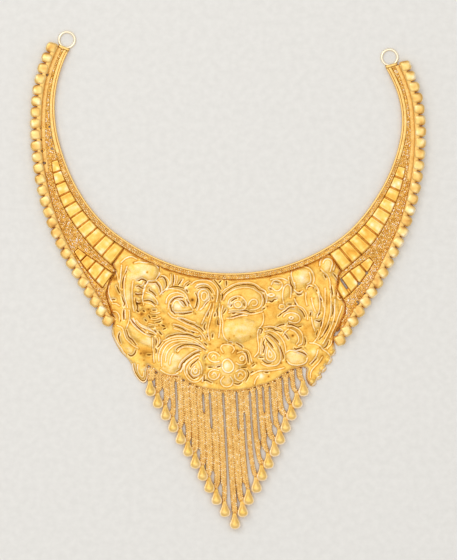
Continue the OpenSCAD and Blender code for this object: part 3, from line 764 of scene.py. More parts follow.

# Chased lines, from the left of the panel to the right; each is painted dark as shade in its groove, with a
# painted highlight on the lip either side
CHASED = [
    # Peacock's neck, head and throat
    [(-40.6, -2.3), (-40, -3.8), (-39.5, -4.8)],
    [(-42.4, -7.1), (-41.2, -7.1)],
    [(-42.3, -12.5), (-41.2, -14)],
    [(-36.9, 3.3), (-37.7, 1.8), (-38.2, 0.2), (-38.5, -1.5), (-38.5, -3)],
    [(-38.7, -6), (-38.2, -7.5), (-37.7, -8.5), (-38, -9.5)],
    [(-38, -11), (-38.1, -12.7), (-38, -14.4)],
    [(-26.2, 6), (-25.2, 5), (-25, 3.7), (-24.8, 2.8)],
    [(-25, 1.3), (-26, 0.2)],
    [(-32.8, -0.3), (-32.3, -0.2), (-31.5, 0.3), (-30.5, 0), (-29.8, -0.5), (-30.2, -1.5)],
    [(-33.3, -2.5), (-32.7, -2.2), (-31.8, -2.7), (-31, -3.2)],
    [(-33.7, -5.2), (-32.5, -5.4), (-31.3, -5.3)],
    [(-33.4, -8.4), (-32.5, -8.7), (-31.7, -8.5)],
    [(-33.8, -6.7), (-33.5, -8.2), (-33, -9.5), (-33.2, -11.2)],
    # Feathers behind the head
    [(-28.7, -1), (-27.5, -1), (-26.3, -0.8), (-25.7, -1.5), (-25, -2.5), (-24.8, -3.3), (-24.6, -4.3)],
    [(-28.7, -3.2), (-28.7, -3.8), (-27.8, -4.3), (-27, -5), (-26.3, -5.8)],
    [(-24.8, 1), (-23.8, 1.2), (-23, 0.5), (-22.5, -0.7), (-22.4, -2), (-22.8, -2.8)],
    [(-22.7, -3.8), (-23.8, -4.8)],
    [(-30.5, -7.5), (-29.2, -7.5), (-28, -7.8), (-27.2, -8.4), (-26.3, -9)],
    [(-27.5, -11), (-26.3, -11)],
    [(-33.4, -11.1), (-32.6, -11.6)],
    [(-31, -11.2), (-30.4, -11.5)],
    [(-30.3, -14.4), (-29.7, -15)],
    [(-28.9, -13), (-28.4, -13.9)],
    [(-27.8, -13.2), (-26.3, -13.2)],
    [(-26.3, -15.5), (-25.3, -15.4), (-24.4, -15)],
    [(-28.8, -17.1), (-26.9, -17.2)],
    [(-24.2, -16.4), (-23.1, -16.9)],
    [(-23.6, -18), (-22.7, -17.6)],
    [(-19.9, 1.8), (-19.8, 0), (-20.2, -2)],
    [(-16.8, 0), (-17.7, -1.2), (-18.2, -1.8)],
    [(-14, -1.3), (-15, -2.2)],
    [(-15.2, -3.5), (-14.7, -4.3)],
    # Big scroll and its tail
    [(-21.2, -2.7), (-19.7, -2.3), (-17.8, -2.5), (-16, -3)],
    [(-20.8, -8.3), (-20.2, -7.5), (-19.5, -6.8), (-18.7, -6.5), (-18, -6.4), (-16.5, -6.4)],
    [(-21, -9), (-20.8, -10.3), (-20.5, -11.3), (-19.8, -11.8), (-19.3, -12.5)],
    [(-17.8, -12.4), (-16.5, -12.4), (-15, -12.2), (-14, -12), (-13.3, -11.9)],
    [(-17.3, -7.3), (-16.3, -7.8), (-15.7, -8.7), (-15.3, -9.4)],
    [(-14.7, -7.8), (-14, -8.8)],
    [(-17.2, -14.2), (-16, -14.8), (-14.7, -15.5), (-13.3, -16), (-12.3, -16.3), (-11.3, -17), (-10.3, -17.4),
     (-9.5, -18.2), (-9, -18.8)],
    [(-19.5, -16.8), (-18.2, -17.2), (-16.8, -17.7), (-15.8, -18.3), (-15.3, -18.6)],
    [(-13.3, -18.8), (-12.3, -19.3)],
    [(-8.3, -16), (-8.7, -17.3), (-8.2, -18.3)],
    [(-7.7, -20.3), (-7.3, -20.8)],
    [(-25.2, -18.7), (-24.2, -20)],
    # Feather eye
    [(-11.8, -4.8), (-11.3, -5.8), (-11.1, -7), (-11.3, -8.3), (-11.6, -9.5), (-12, -10.3)],
    [(-11, -3.1), (-9.7, -2.7), (-8.7, -2.6), (-7.7, -2.7), (-6.8, -3.3), (-6.2, -4.2), (-5.8, -4.8)],
    [(-5.8, -6.2), (-5.5, -7)],
    [(-7.2, -7.8), (-8, -8.8), (-8.5, -9.5)],
    [(-7, -11.8), (-7.5, -13.3)],
    # Strands down the middle
    [(-5, 0), (-3.8, -1.5), (-3, -2.5), (-2.5, -3.5)],
    [(-2.5, -0.2), (-3.2, -1)],
    [(-0.6, -0.3), (-0.5, -2)],
    [(-2.3, -4.8), (-2, -5.7), (-2.3, -7.3)],
    [(-3.7, -10.2), (-4, -11.2), (-3.8, -12), (-3.8, -13)],
    [(-3.7, -14.7), (-3.7, -16), (-3.3, -16.3)],
    [(-4.7, -12.3), (-4.9, -13.3)],
    [(-0.8, -10.7), (-1.2, -11.5), (-1.7, -12.2)],
    [(-5.5, -19.7), (-5.7, -21)],
    [(-8.7, -23), (-7.7, -23.8)],
    # Large paisley
    [(-2, -5.8), (-0.8, -4.5), (0.2, -3.7), (1.2, -3), (2.8, -2.2), (4, -1.9), (5.6, -1.7), (7.2, -1.7),
     (8.3, -1.8), (9.7, -2.2), (10.3, -2.7), (11.2, -3.5), (12.2, -3.9), (13.3, -4.3)],
    [(12.9, -5.3), (13.1, -6.3), (13.4, -7.3), (13.3, -8.7), (12.8, -9.5)],
    [(13.5, -10.2), (12.7, -10.7)],
    [(9.7, -11.7), (8, -11.8), (6.7, -11.2), (4.8, -11.3)],
    [(1.5, -12.3), (2.8, -12)],
    [(1.3, -13.5), (3, -13), (4, -12.7), (5.2, -12.4)],
    [(1.2, -7.8), (1.8, -7.3), (2.7, -6.8), (3.2, -6.75)],
    [(5.8, -8.3), (5.9, -9.5)],
    [(1.5, -9), (1, -9.7)],
    [(11.3, -17.7), (12.5, -18), (12, -19.5)],
    # Flower
    [(0.2, -22.9), (1.3, -23)],
    [(3, -23), (4.8, -24), (5.3, -24.7)],
    [(5.5, -26.4), (6.5, -26.3), (7, -27.3), (7.3, -28.7), (7.5, -30.2)],
    [(-8, -27.7), (-8.5, -28.5)],
    [(-7.2, -31.8), (-5.7, -31.8)],
    [(-4, -31.8), (-2.8, -31.4)],
    [(-8.5, -34.8), (-8.7, -36.7), (-8, -36.5), (-6, -37.5)],
    [(4.8, -31.8), (6.7, -31.8)],
    [(7, -33), (7.6, -34.2), (7.3, -35.3), (6.5, -36.8)],
    [(5, -37.3), (3.8, -38), (2.2, -37.7)],
    [(8.2, -34), (9.2, -33.3)],
    # Lower left scroll and small paisley
    [(-22.5, -21.2), (-21.5, -20.5), (-20.2, -20.2), (-18.8, -19.8), (-17.7, -19.75), (-16.7, -19.8),
     (-14.7, -19.9), (-13.3, -20.2), (-12, -20.8), (-10.8, -21), (-10.2, -20.7), (-9.9, -21.7)],
    [(-18.8, -25.5), (-18.3, -24.8), (-17.3, -24.2), (-16.2, -23.7), (-14.7, -23.6), (-12.3, -23.7),
     (-11, -24), (-10.2, -24.3), (-9.5, -24.7), (-8, -25.7)],
    [(-10.2, -26.2), (-11.2, -26.5), (-12.3, -27), (-14, -28.2), (-15.5, -29.3), (-15.8, -29.8),
     (-16.7, -30.5), (-17, -31.7), (-17.6, -32.8), (-18.8, -33.5)],
    [(-10.8, -28.8), (-12, -29.8), (-13.2, -30.8), (-13.7, -31.8)],
    [(-14.4, -33.2), (-14.2, -34.3), (-13.3, -35.3), (-12.5, -35.9), (-11.2, -35.5)],
    # Left leaves
    [(-39.5, -19.3), (-39.9, -20.8), (-39.3, -23)],
    [(-37, -18.2), (-36.3, -20.5), (-35.7, -21.2), (-35, -21.7), (-34.3, -22.7), (-33.5, -23.7)],
    [(-33.5, -25.5), (-34, -26.8), (-35.3, -27.7), (-36.3, -27.2)],
    [(-35.3, -14.3), (-34.7, -15.2), (-33.7, -16.2), (-32.7, -17.3), (-31.7, -18.2), (-30.3, -19.2)],
    [(-33.7, -15.3), (-33, -16.3), (-31.7, -17.3), (-30.7, -17.8), (-29.7, -18.7)],
    [(-28.8, -19.5), (-27.7, -19.8), (-26.8, -20.2)],
    [(-26.8, -18.3), (-26.2, -19)],
    [(-26.3, -21.5), (-26.1, -22.6), (-26.3, -23.8)],
    [(-24, -22.3), (-25, -23.7), (-25.7, -24.5)],
    [(-26.5, -25), (-26.2, -25.7), (-26.3, -26.7)],
    [(-29.5, -27.3), (-28, -27.3)],
    [(-34.4, -30.9), (-34.2, -32.4), (-33.6, -34), (-32.8, -35.3), (-31.8, -36.4), (-30.9, -36.8),
     (-30.1, -36.4), (-29.7, -34.8), (-29.6, -32.8)],
    # Petals and big dome right of the paisley
    [(16.7, -0.7), (17.7, -0.7), (18.7, -1)],
    [(15.2, -3), (15.8, -3.5)],
    [(14.5, -7.7), (15.3, -7.7), (16, -8), (16.7, -7.3), (17.5, -7.1)],
    [(22.5, 1), (22.8, -1.3), (23.6, -2.7), (23.7, -4), (23.75, -4.8)],
    [(25, -5), (25.8, -5.4), (27, -5.1)],
    [(29.1, -2.7), (30, -2.2)],
    # Right head, neck and leaf
    [(38, 8.8), (39.2, 8), (39.8, 7), (40.3, 6)],
    [(35.2, 1.8), (35.8, 0.7)],
    [(38.5, 2.2), (39.3, 1.2), (40, 0.2)],
    [(37.7, -2.3), (37.9, -3.8), (38.2, -5.5)],
    [(38.2, -9), (38.3, -10.5), (38.2, -12), (37.8, -13.3)],
    [(39.8, -4), (39.6, -5.5)],
    # Lying paisley
    [(18.3, -13.3), (19, -12.7), (20, -11.8), (21, -11.3), (22.3, -10.2), (24, -10)],
    [(21.8, -8.8), (23.2, -8.8)],
    [(24.3, -8.3), (24.8, -9)],
    [(26, -10.5), (26.8, -11.2), (27.5, -12.2), (28, -13.5)],
    [(22, -15.7), (22.2, -16.2), (23.3, -16.3), (24.3, -16.8), (25.5, -17.2), (26.8, -16.8)],
    [(30.2, -11.8), (29.8, -13.3)],
    [(31.9, -3.1), (32.5, -4.2)],
    [(33.7, -6.6), (34.1, -7.5)],
    [(32.1, -14.8), (33.3, -15.1), (34, -14.6)],
    [(33.7, -12), (32.8, -13)],
    # Arcs and teardrop
    [(14.5, -17.75), (15.5, -17.6), (16.5, -17.8), (17.2, -18.3), (18.7, -18.6), (19.5, -18.9)],
    [(17.7, -17.2), (19, -16.5), (20.5, -16.2)],
    [(14.5, -19.5), (15.5, -20), (16.2, -20.6), (17.2, -21.4), (18, -22.2), (18.5, -23)],
    [(20.7, -19.7), (21.4, -20.5), (22, -21.5)],
    [(13.3, -21.7), (12.8, -23.2), (13.3, -24.3), (13, -25.8), (12.7, -26.7)],
    [(11.3, -28.2), (12.8, -28.2)],
    [(12.5, -29.3), (13.7, -30.2), (14.8, -30.5), (15.8, -30.3)],
    [(19.1, -24.3), (19.5, -25.7), (20, -27), (20.2, -28.2), (20, -29)],
    [(13.7, -21), (14.5, -22.2), (15.7, -23.5), (16.5, -24.7)],
    [(28, -21), (28.2, -22.4), (28, -23.7)],
    [(24.2, -24.8), (24.8, -25.2), (26.3, -24.75), (27, -24.5)],
    [(25.5, -26), (27.2, -26.5), (28.7, -27.5), (28.8, -28.3)],
    [(8.8, -31.5), (9.8, -30.8)],
    [(13.5, -33.7), (14.7, -33.7)],
    # Right leaves
    [(34.2, -15), (33.8, -17)],
    [(32.7, -18.5), (32.2, -20.2)],
    [(34.7, -20.3), (33.2, -21.7)],
    [(37, -16), (36.3, -17.7), (35, -19.8)],
    [(35, -24.8), (36, -24), (36.7, -22.3)],
    [(32.3, -28.7), (31.3, -29.7), (30.5, -30.7)],
]

# Wires soldered along crests and edges, each painted bright along its top as a highlight, with a faint line of
# painted shade on both sides
CREST_WIRES = [
    [(-38.8, 5.3), (-39, 3), (-39.2, 0.7), (-39.5, -1.7), (-39.3, -3.3)],
    [(-37.5, -11), (-37.5, -12.5), (-37.4, -14)],
    [(-29.3, -1), (-30.5, -2.7), (-31, -5), (-31.2, -6.7), (-30.8, -9)],
    [(-19.5, 1.7), (-19.5, -0.3), (-19.9, -1.8)],
    [(-16.4, 0.2), (-17.2, -1)],
    [(-17.7, -8), (-16.7, -9.2), (-16.2, -9.7)],
    [(-15.7, -7.3), (-15, -8.3), (-14.7, -9.5)],
    [(-18.5, -13.8), (-16, -14.1), (-14, -14.9), (-12, -15.5)],
    [(-34.8, -14.2), (-33.8, -15.7), (-32.7, -16.7), (-31, -17.4), (-29.3, -17.8), (-27.5, -18.7)],
    [(-42.1, -18.2), (-41.8, -20), (-40.8, -22.2), (-39.9, -23.7), (-38.9, -25), (-38.2, -26.3),
     (-37.3, -27.3)],
    [(-10.4, -27.1), (-11.6, -27.3), (-13.6, -28.7), (-15, -29.9), (-16.1, -31), (-16.6, -32.3),
     (-17.3, -33.5)],
    [(-10.6, -25.6), (-12.4, -26.2), (-14.4, -27.5), (-16.2, -29), (-17.4, -30.4), (-17.9, -32)],
    [(-12, -31.3), (-13.2, -32.6), (-13.5, -34), (-12.6, -35), (-11.3, -34.9), (-10.4, -34.2), (-10.3, -33)],
    [(-9.2, -35.3), (-9.3, -37)],
    [(-11.3, -1.7), (-9.3, -1.3), (-7.3, -1.7)],
    [(-11, -6.6), (-10.8, -4.6), (-9.6, -3.4), (-8, -3.5), (-7, -4.8), (-7.2, -6.6), (-8.5, -7.6)],
    [(24.2, -1), (24.5, -3)],
    [(24.2, -3.7), (25, -4.4), (26.2, -4.7), (27.2, -4)],
    [(14.4, -5.5), (15.7, -4.9), (17, -5.5), (15.7, -6.1), (14.4, -5.5)],
    [(22.2, -13.8), (23, -13.3), (23.8, -13.8), (23, -14.3), (22.2, -13.8)],
    [(-35, -30.6), (-34.8, -32.2), (-34.1, -34.2), (-33.1, -35.8), (-32, -36.9), (-31, -37.4), (-30.1, -37.2),
     (-29.5, -36.3), (-29.2, -34.8)],
    [(1.2, -29.6), (0, -28.8), (-1.6, -29.5), (-2.2, -31.3), (-1.4, -33.1), (0.3, -33.7), (1.7, -32.8),
     (2.1, -31.2), (1.2, -29.6)],
    [(39.6, -25.6), (38.6, -26.9), (37.6, -28.4), (36.8, -29.9), (35.9, -31.6), (34.6, -33), (34.2, -34.6),
     (32.6, -35.6), (31.9, -37.4), (30.7, -38.4)],
]

# Raised edges of the motifs with a painted highlight along them, and a faint line of painted shade on both
# sides
MOTIFS = [
    # Peacock's head and neck
    [(-34.2, 6.2), (-32.5, 6.6), (-30, 6.3), (-28, 6.2), (-26.2, 5.4), (-25, 4), (-24.9, 2.5), (-25.3, 1.6),
     (-26, 0.4)],
    [(-36.8, 5), (-37.6, 2), (-37.9, -1), (-37.9, -4), (-37.6, -6.5), (-37, -8.5), (-36.6, -10)],
    [(-26, 0.1), (-27.5, -0.2), (-29, -0.3), (-29.6, -1.2), (-30.1, -2.2), (-30.4, -3.4), (-30.9, -4.6),
     (-31.1, -6)],
    [(-34.6, -0.4), (-34.9, -3), (-34.9, -6), (-34.7, -9), (-34.2, -11.4)],
    [(-43.4, -1.6), (-43.6, -4), (-43.2, -6), (-42.2, -8)],
    [(-36, -11), (-35.8, -13), (-36.2, -15.4), (-37, -17.4)],
    [(-39, 6.4), (-37.1, 8), (-35, 8.5), (-33.2, 7.6)],
    [(-41.2, 3.6), (-40.3, 1.5), (-39.9, -0.8)],
    [(-42.2, -8.6), (-40.8, -8.6), (-39.6, -9.4)],
    [(-42, -11.4), (-40.7, -11.6), (-39.7, -12.9), (-39.6, -15)],
    # Feathers behind the head
    [(-25.6, -0.6), (-24.7, -1.6), (-24.2, -3), (-24.1, -4.4), (-24.8, -5.2)],
    [(-24.2, 1.6), (-23, 1.3), (-22, 0.4), (-21.5, -0.8), (-21.6, -2.2), (-22.4, -3.3), (-23.4, -4.2),
     (-24.4, -4.7)],
    [(-29.8, -4.6), (-28.6, -4.9), (-27.4, -5.7), (-26.6, -6.6), (-25.8, -7.8), (-25.6, -8.8)],
    [(-30.6, -8.2), (-29, -8.4), (-27.6, -8.9), (-26.6, -9.8)],
    [(-28.2, -12), (-26.6, -12.2), (-24.9, -11.9)],
    [(-28, -14.2), (-26.4, -14.4), (-24.6, -13.8)],
    [(-28.9, -15.9), (-27.2, -16.3), (-25.6, -16.4)],
    [(-31.9, -2.1), (-31, -1.8), (-30.7, -0.9)],
    [(-33.6, -4.6), (-32.8, -5), (-31.9, -4.6)],
    [(-33.5, -7.8), (-32.7, -8.1), (-31.8, -7.7)],
    [(-20.8, 2), (-20.7, 0), (-21, -1.6)],
    [(-18.6, 1.6), (-18.6, 0), (-18.9, -1.4)],
    [(-14.4, -0.4), (-15.6, -1.2), (-16.2, -2.2)],
    # Big scroll and its tail
    [(-23.8, -4.9), (-22.6, -3.7), (-21.2, -3.1), (-19.5, -3.2), (-17.8, -3.5), (-16.4, -4.2), (-15.4, -5.2),
     (-14.8, -6.4), (-14.4, -7.6), (-13.6, -9.4), (-12.6, -10.9)],
    [(-22.6, -8.4), (-22.2, -6.6), (-21, -5.2), (-19.2, -4.6), (-17.4, -4.8), (-16, -5.6)],
    [(-21.8, -10.6), (-21.6, -9), (-21.1, -7.6), (-20.2, -6.6), (-19, -6), (-17.6, -5.8), (-16.2, -6.1),
     (-15.2, -6.9)],
    [(-20.4, -9.8), (-20, -8.4), (-19.2, -7.5), (-18.2, -7.4), (-17.6, -8.2), (-16.9, -9), (-16, -9.8)],
    [(-19.5, -11.8), (-18, -11.8), (-16, -11.7), (-14.4, -11.5), (-13, -11.3)],
    [(-21.8, -12), (-20.6, -13.4), (-19, -14), (-17.4, -14.8), (-15.4, -15.9), (-13.4, -16.7), (-11.6, -17.6),
     (-10.2, -18.7), (-9.2, -19.9), (-8.2, -21.6)],
    [(-20, -16.1), (-18.4, -16.4), (-16.6, -17), (-15.4, -17.7), (-14, -18.3), (-12.4, -18.8),
     (-10.9, -19.2)],
    [(-19.6, -17.7), (-17.8, -18.1), (-16.2, -18.9), (-14.4, -19.3), (-12.8, -19.9)],
    # Feather eye and its halo
    [(-12, -2.6), (-10.8, -1.9), (-9, -1.5), (-7.4, -1.8), (-6.2, -2.8), (-5.3, -4), (-4.9, -5.2)],
    [(-13.4, -1.6), (-12, -0.5), (-10, 0), (-8, 0), (-6.2, -0.5), (-4.9, -1.6), (-4, -3), (-3.7, -5),
     (-4.2, -8)],
    [(-10.2, -10.9), (-9, -9.8), (-7.9, -8.4), (-6.8, -7.2), (-6.5, -6)],
    [(-10.8, -6.4), (-10.5, -8), (-10.8, -9.6), (-11.4, -11)],
    [(-9.7, -6.6), (-9.6, -5.2), (-8.9, -4.4), (-8, -4.6), (-7.6, -5.6), (-7.9, -6.8), (-8.8, -7.6),
     (-9.7, -6.6)],
    # Strands down the middle
    [(-6.2, -8.6), (-6.8, -10.4), (-7.8, -12.2), (-8.8, -14.2), (-9.6, -16)],
    [(-5.2, -8.4), (-5.5, -10.6), (-6.1, -12.6), (-6.6, -14.8), (-7.2, -17), (-7.3, -19.4), (-6.8, -22)],
    [(-3.1, -8.6), (-3, -10.6), (-3.1, -13), (-2.9, -15.2), (-3, -18), (-3.4, -21)],
    [(-1.9, -9.4), (-2.3, -11.4), (-2.3, -13.6), (-1.8, -15.6)],
    # Large paisley
    [(-2.6, -5.2), (-1.4, -3.7), (0, -2.8), (1.6, -1.9), (3.4, -1.2), (5.5, -1), (7.5, -0.9), (9.4, -1.3),
     (10.8, -2.1), (12, -3.1), (13.2, -3.8), (14, -5), (14.2, -6.4), (14, -8.2)],
    [(-1.7, -7.2), (-1, -5.7), (0, -4.7), (1.4, -3.8), (3, -3.1), (5, -2.7), (7, -2.6), (9, -3), (10.6, -4),
     (11.8, -4.9), (12.4, -6), (12.6, -7.4), (12.3, -8.8), (11.6, -9.9), (10, -10.7), (8, -10.9)],
    [(0, -8.8), (0.5, -7.2), (1.8, -6.3), (3.2, -5.9), (4.6, -6), (5.6, -6.8), (6.6, -8.2), (6.6, -9.8),
     (5.6, -10.8), (3.8, -11), (2, -10.9), (0.4, -11.1)],
    [(2.2, -8.4), (3.4, -7.7), (4.6, -8.1), (5, -9.3), (3.9, -10.1), (2.6, -9.7), (2.2, -8.4)],
    [(0.3, -11.9), (2, -11.5), (4, -11.8), (6, -11.9), (8, -12.4), (10.4, -12.1), (12.6, -11.4)],
    [(-0.4, -13.9), (1.4, -13.9), (3, -13.4), (5, -12.9), (7, -12.9)],
    [(7.4, -9.2), (8, -7.8), (9.2, -7), (10.4, -7.4), (10.7, -8.4), (10, -9.3), (8.9, -9.2)],
    # Body of the bird
    [(-1.9, -16), (-2, -18.4), (-1.4, -20.8), (-0.2, -22.2)],
    [(12.8, -12.2), (13, -14.4), (12.4, -16.4), (11, -18.4), (10.8, -21), (11.2, -24), (10.9, -26.4),
     (9.6, -28)],
    # Flower
    [(-1.8, -26.4), (-2.7, -24.8), (-1.8, -23.6), (0, -23.5), (1.5, -24), (2.3, -25.2), (1.6, -26.5)],
    [(3.4, -26.6), (5, -26.1), (6.2, -27), (6.7, -28.4), (6.6, -30), (5.6, -30.8), (4.2, -30.9), (3, -30.2)],
    [(4.4, -28.3), (5.2, -27.6), (5.9, -28.4), (5.5, -29.3), (4.6, -29.2), (4.4, -28.3)],
    [(-3.2, -29.6), (-4.8, -29.9), (-6.4, -29.4), (-7.4, -28.2), (-7, -26.8), (-5.6, -26.2), (-4, -26.6),
     (-3, -27.6)],
    [(-3.4, -33), (-5, -32.6), (-6.6, -33.3), (-7.2, -34.7), (-6.4, -36), (-4.8, -36.3), (-3.5, -35.4),
     (-3, -34.2)],
    [(-1.6, -35.2), (-2.7, -36.6), (-2.2, -38.2), (-0.6, -39), (1.2, -38.4), (1.8, -36.8), (0.8, -35.2)],
    [(2.9, -33.4), (4.4, -32.6), (6, -33.2), (6.6, -34.8), (5.6, -36.3), (4.2, -36.8), (2.8, -36),
     (2.4, -34.6)],
    [(5.4, -34.7), (4.8, -33.9), (3.9, -34.2), (3.7, -35.1)],
    [(-5.9, -34.6), (-5.2, -33.8), (-4.4, -34.2), (-4.3, -35)],
    [(-6, -28.2), (-5.2, -27.4), (-4.4, -27.8), (-4.4, -28.6)],
    [(5.6, -25.3), (7, -25.7), (8, -27), (8.4, -28.8), (8.9, -30.2)],
    [(8.4, -34.6), (9.6, -33.9), (11.2, -33.2), (13, -33), (15.2, -33), (18, -32.6), (20.4, -32)],
    [(9.6, -38), (10, -36.4), (11, -35)],
    # Lower left scroll, leaf and small paisley
    [(-23.5, -22.2), (-22.3, -21.6), (-20.6, -20.9), (-18.6, -20.5), (-16.4, -20.4), (-14.4, -20.7),
     (-12.4, -21.4), (-10.8, -22.3), (-9.4, -23.6), (-8.4, -25)],
    [(-25.2, -29.5), (-25.2, -27), (-24.4, -24.8), (-23, -23), (-21, -21.9), (-19, -21.4), (-16.8, -21.3),
     (-14.6, -21.5), (-12.6, -22.2), (-10.8, -23.2)],
    [(-24.2, -31.4), (-24.3, -28.6), (-23.6, -26), (-22.4, -24), (-20.8, -22.8), (-19, -22.3), (-17, -22.1),
     (-15, -22.2), (-13, -22.6)],
    [(-22.8, -29.6), (-22.4, -27), (-21.3, -25.2), (-19.7, -23.9), (-18, -23.2), (-16.4, -22.9),
     (-14.4, -22.9), (-12.2, -23.2), (-10.4, -23.8), (-9, -24.8)],
    [(-21.2, -30.6), (-20.9, -28.4), (-19.9, -26.6)],
    [(-18.3, -26.1), (-17.4, -25), (-16, -24.4), (-14, -24.4), (-12, -24.7), (-10.6, -25.3)],
    [(-9.8, -25.6), (-11.4, -25.8), (-13, -26.5), (-14.6, -27.6), (-16, -28.8), (-17.1, -30), (-17.6, -31.6)],
    [(-10.6, -27), (-12, -27.5), (-13.4, -28.5), (-14.6, -29.6), (-15.6, -30.8), (-16, -32.2), (-15.8, -33.7),
     (-15.1, -35.3), (-14, -36.5), (-12.6, -37.2), (-10.8, -36.9), (-9.6, -35.8)],
    [(-10.8, -28.2), (-12.2, -28.9), (-13.6, -30), (-14.6, -31.3), (-15.1, -32.8), (-14.9, -34.3)],
    [(-9.6, -34.2), (-9.5, -32.4), (-10, -30.6), (-10.6, -29.6)],
    [(-12.1, -32.2), (-12.6, -33.2), (-12, -34), (-11.3, -33.5), (-11.4, -32.5), (-12.1, -32.2)],
    [(-24.6, -32.8), (-22.4, -34.2), (-20, -34.6), (-18.2, -34)],
    # Left leaves and petal
    [(-35.6, -14.4), (-34.9, -15.8), (-33.8, -17), (-32.6, -18), (-31.4, -18.9), (-30, -19.8),
     (-28.2, -20.4)],
    [(-34.6, -13.9), (-33.8, -15.2), (-32.8, -16.4), (-31.6, -17.3), (-30.4, -18.2), (-29.2, -19.1)],
    [(-33.4, -14.6), (-32.4, -15.8), (-31.2, -16.6), (-29.8, -17.1), (-28.4, -17.8), (-27.2, -18.8),
     (-26, -19.8)],
    [(-40.4, -16.6), (-38.6, -17.4), (-37.8, -19.4), (-37.2, -21.2), (-36, -22.5), (-34.6, -23.8),
     (-32.8, -24.9)],
    [(-27.4, -21), (-27.4, -22.6), (-27.4, -24.4), (-27.2, -26.2), (-27.2, -28), (-27, -30)],
    [(-32.8, -30.8), (-33, -32.4), (-32.6, -34), (-31.6, -35.3), (-30.8, -35.2), (-30.6, -33.6)],
    [(-25.2, -20.8), (-24.8, -22), (-25, -23.2)],
    # Petals right of the paisley
    [(15.8, -1.6), (16.6, -0.3), (18, 0), (19.4, -0.8), (19.8, -2), (19.2, -3.2), (18.2, -3.9), (17, -3.7),
     (16, -2.8)],
    [(20.3, -8.4), (19.9, -6.4), (20, -4.2), (20.6, -2.4), (21.8, -1.5), (22.8, -2.4), (23, -4.4),
     (22.8, -6.4)],
    [(23.3, 3.6), (23, 2), (23.4, 0.4), (23.8, -1), (24.4, -2.4)],
    [(24, 4.6), (26, 5), (28.4, 4.8), (30.2, 3.8), (31.2, 1.8), (31.4, 0), (30.9, -1.5)],
    [(29.6, 2.8), (30.2, 1), (30, -0.8), (28.8, -1.6)],
    [(24.2, -6.8), (24.8, -8.2), (25.6, -9.4), (26.9, -10), (28, -11), (28.8, -12.6), (29, -14.4)],
    [(19.6, -12), (21, -10.7), (22.6, -9.5), (24.6, -9.3)],
    [(31.6, -1.6), (32.8, -3.2), (33.4, -5.2), (34.4, -7.4), (34.8, -9.8)],
    [(15.5, 0.1), (17.8, 0.7), (20, 0.5), (21.8, -0.3)],
    [(18.5, -9.9), (19, -9), (20.1, -8.9), (20.8, -9.6), (20.4, -10.4), (19.3, -10.6), (18.5, -9.9)],
    [(28.6, -3.2), (29.4, -2.1), (31, -2.3), (32.3, -3.7), (33.2, -6), (33.5, -8.7), (33.2, -11.4),
     (32.4, -13.8)],
    [(28.4, -4.6), (28.3, -6.8), (28.8, -9.2)],
    [(30.4, -13.6), (30.9, -16.4), (31.8, -18.6)],
    [(30.4, -6.6), (30.9, -9), (31.8, -11.4)],
    # Right head and neck
    [(33.4, 5.2), (33.6, 7), (34.6, 8.3), (36, 8.9), (37.4, 8.8), (38.6, 7.9), (39.1, 6.6), (39, 5.2),
     (38.4, 3.6)],
    [(34.6, 6.2), (35.2, 7.4), (36.4, 7.8), (37.6, 7.3), (38.1, 6.2), (37.8, 4.8), (37.2, 3)],
    [(33.8, 4), (34.8, 2.9), (35.9, 2.1), (36.7, 0.8), (37.2, -1), (37.3, -3)],
    [(35.4, -3), (35.4, -8), (35.2, -12), (34.6, -15), (33.8, -18), (32.6, -21), (31, -23)],
    [(37.4, -5), (37.5, -8), (37.4, -11), (37, -13.6), (36.2, -16.4), (35, -19), (33.8, -21.4)],
    [(39, -7), (38.9, -10), (38.8, -13), (38, -16), (36.9, -18.6), (35.6, -21.4), (34.6, -23.2)],
    [(39.8, -2.6), (40.5, -2.1), (41.3, -2.8), (41.8, -4.2), (41.9, -5.8), (41.4, -7), (40.6, -7),
     (39.9, -6.2)],
    [(41.6, -9.4), (41, -11.6), (40.2, -13.6), (39.4, -16), (38.2, -18.6), (37.2, -21)],
    # Lying paisley and its arcs
    [(20.2, -13.4), (21.2, -12.3), (22.8, -11.9), (24.6, -12.2), (25.9, -13.1), (26.3, -14.4), (25.4, -15.4),
     (23.8, -15.6), (22.2, -15)],
    [(21.6, -16.8), (24, -16.9), (25.6, -17.8), (26.9, -19.4), (27.3, -21.4), (27, -23.2), (25.6, -24)],
    [(22.8, -18), (24.4, -18.8), (25.6, -20.4), (25.8, -22.2), (25, -23.4)],
    [(20, -20.2), (20.7, -19), (22.1, -17.8)],
    [(13.4, -18.7), (15, -18.5), (16.6, -18.8), (18, -19.6), (19.2, -20.9), (20.3, -22.5), (20.9, -24.4),
     (21, -26.6)],
    [(13, -17.2), (15, -16.9), (17, -17.1), (18.8, -17.6), (20, -18.4)],
    # Teardrop and the dome beside it
    [(13.9, -20.2), (15.3, -20.7), (16.6, -21.9), (17.8, -23.4), (18.7, -25), (19.2, -26.6), (19.3, -28.2),
     (18.9, -29.8), (17.8, -31), (16, -31.3), (14, -31.2), (12.4, -30.4)],
    [(14.3, -23), (15.4, -24.5), (16.6, -26), (17.4, -27.6), (17, -29), (15.8, -29.6), (14.4, -29.2),
     (13.8, -27.8), (14, -26), (14.3, -24.4)],
    [(15, -25.6), (15.8, -26.6), (16, -27.8), (15.2, -28.2), (14.8, -27.2), (15, -25.6)],
    [(12.2, -21.4), (12, -23.4), (12, -25.4), (11.8, -27)],
    [(21.4, -26.2), (22.6, -25.6), (24.6, -25.8), (26.6, -25.4), (28, -26.3), (28.8, -27.7), (28.8, -29.2),
     (27.9, -30.4), (26, -31), (24, -31), (22.4, -30.5), (21.4, -29.2)],
    # Right leaves
    [(29.8, -22.9), (32, -23.2), (33.6, -24), (34.6, -25.2), (36, -26.2), (37, -27.4)],
    [(32.8, -25.4), (32.3, -27.4), (31.2, -29.2), (29.8, -30.6)],
    [(34.4, -28), (33, -30.2), (31.4, -31.8), (30.2, -33.6), (30, -35.6)],
    [(36.2, -24.9), (37.4, -23.6), (38, -22)],
]
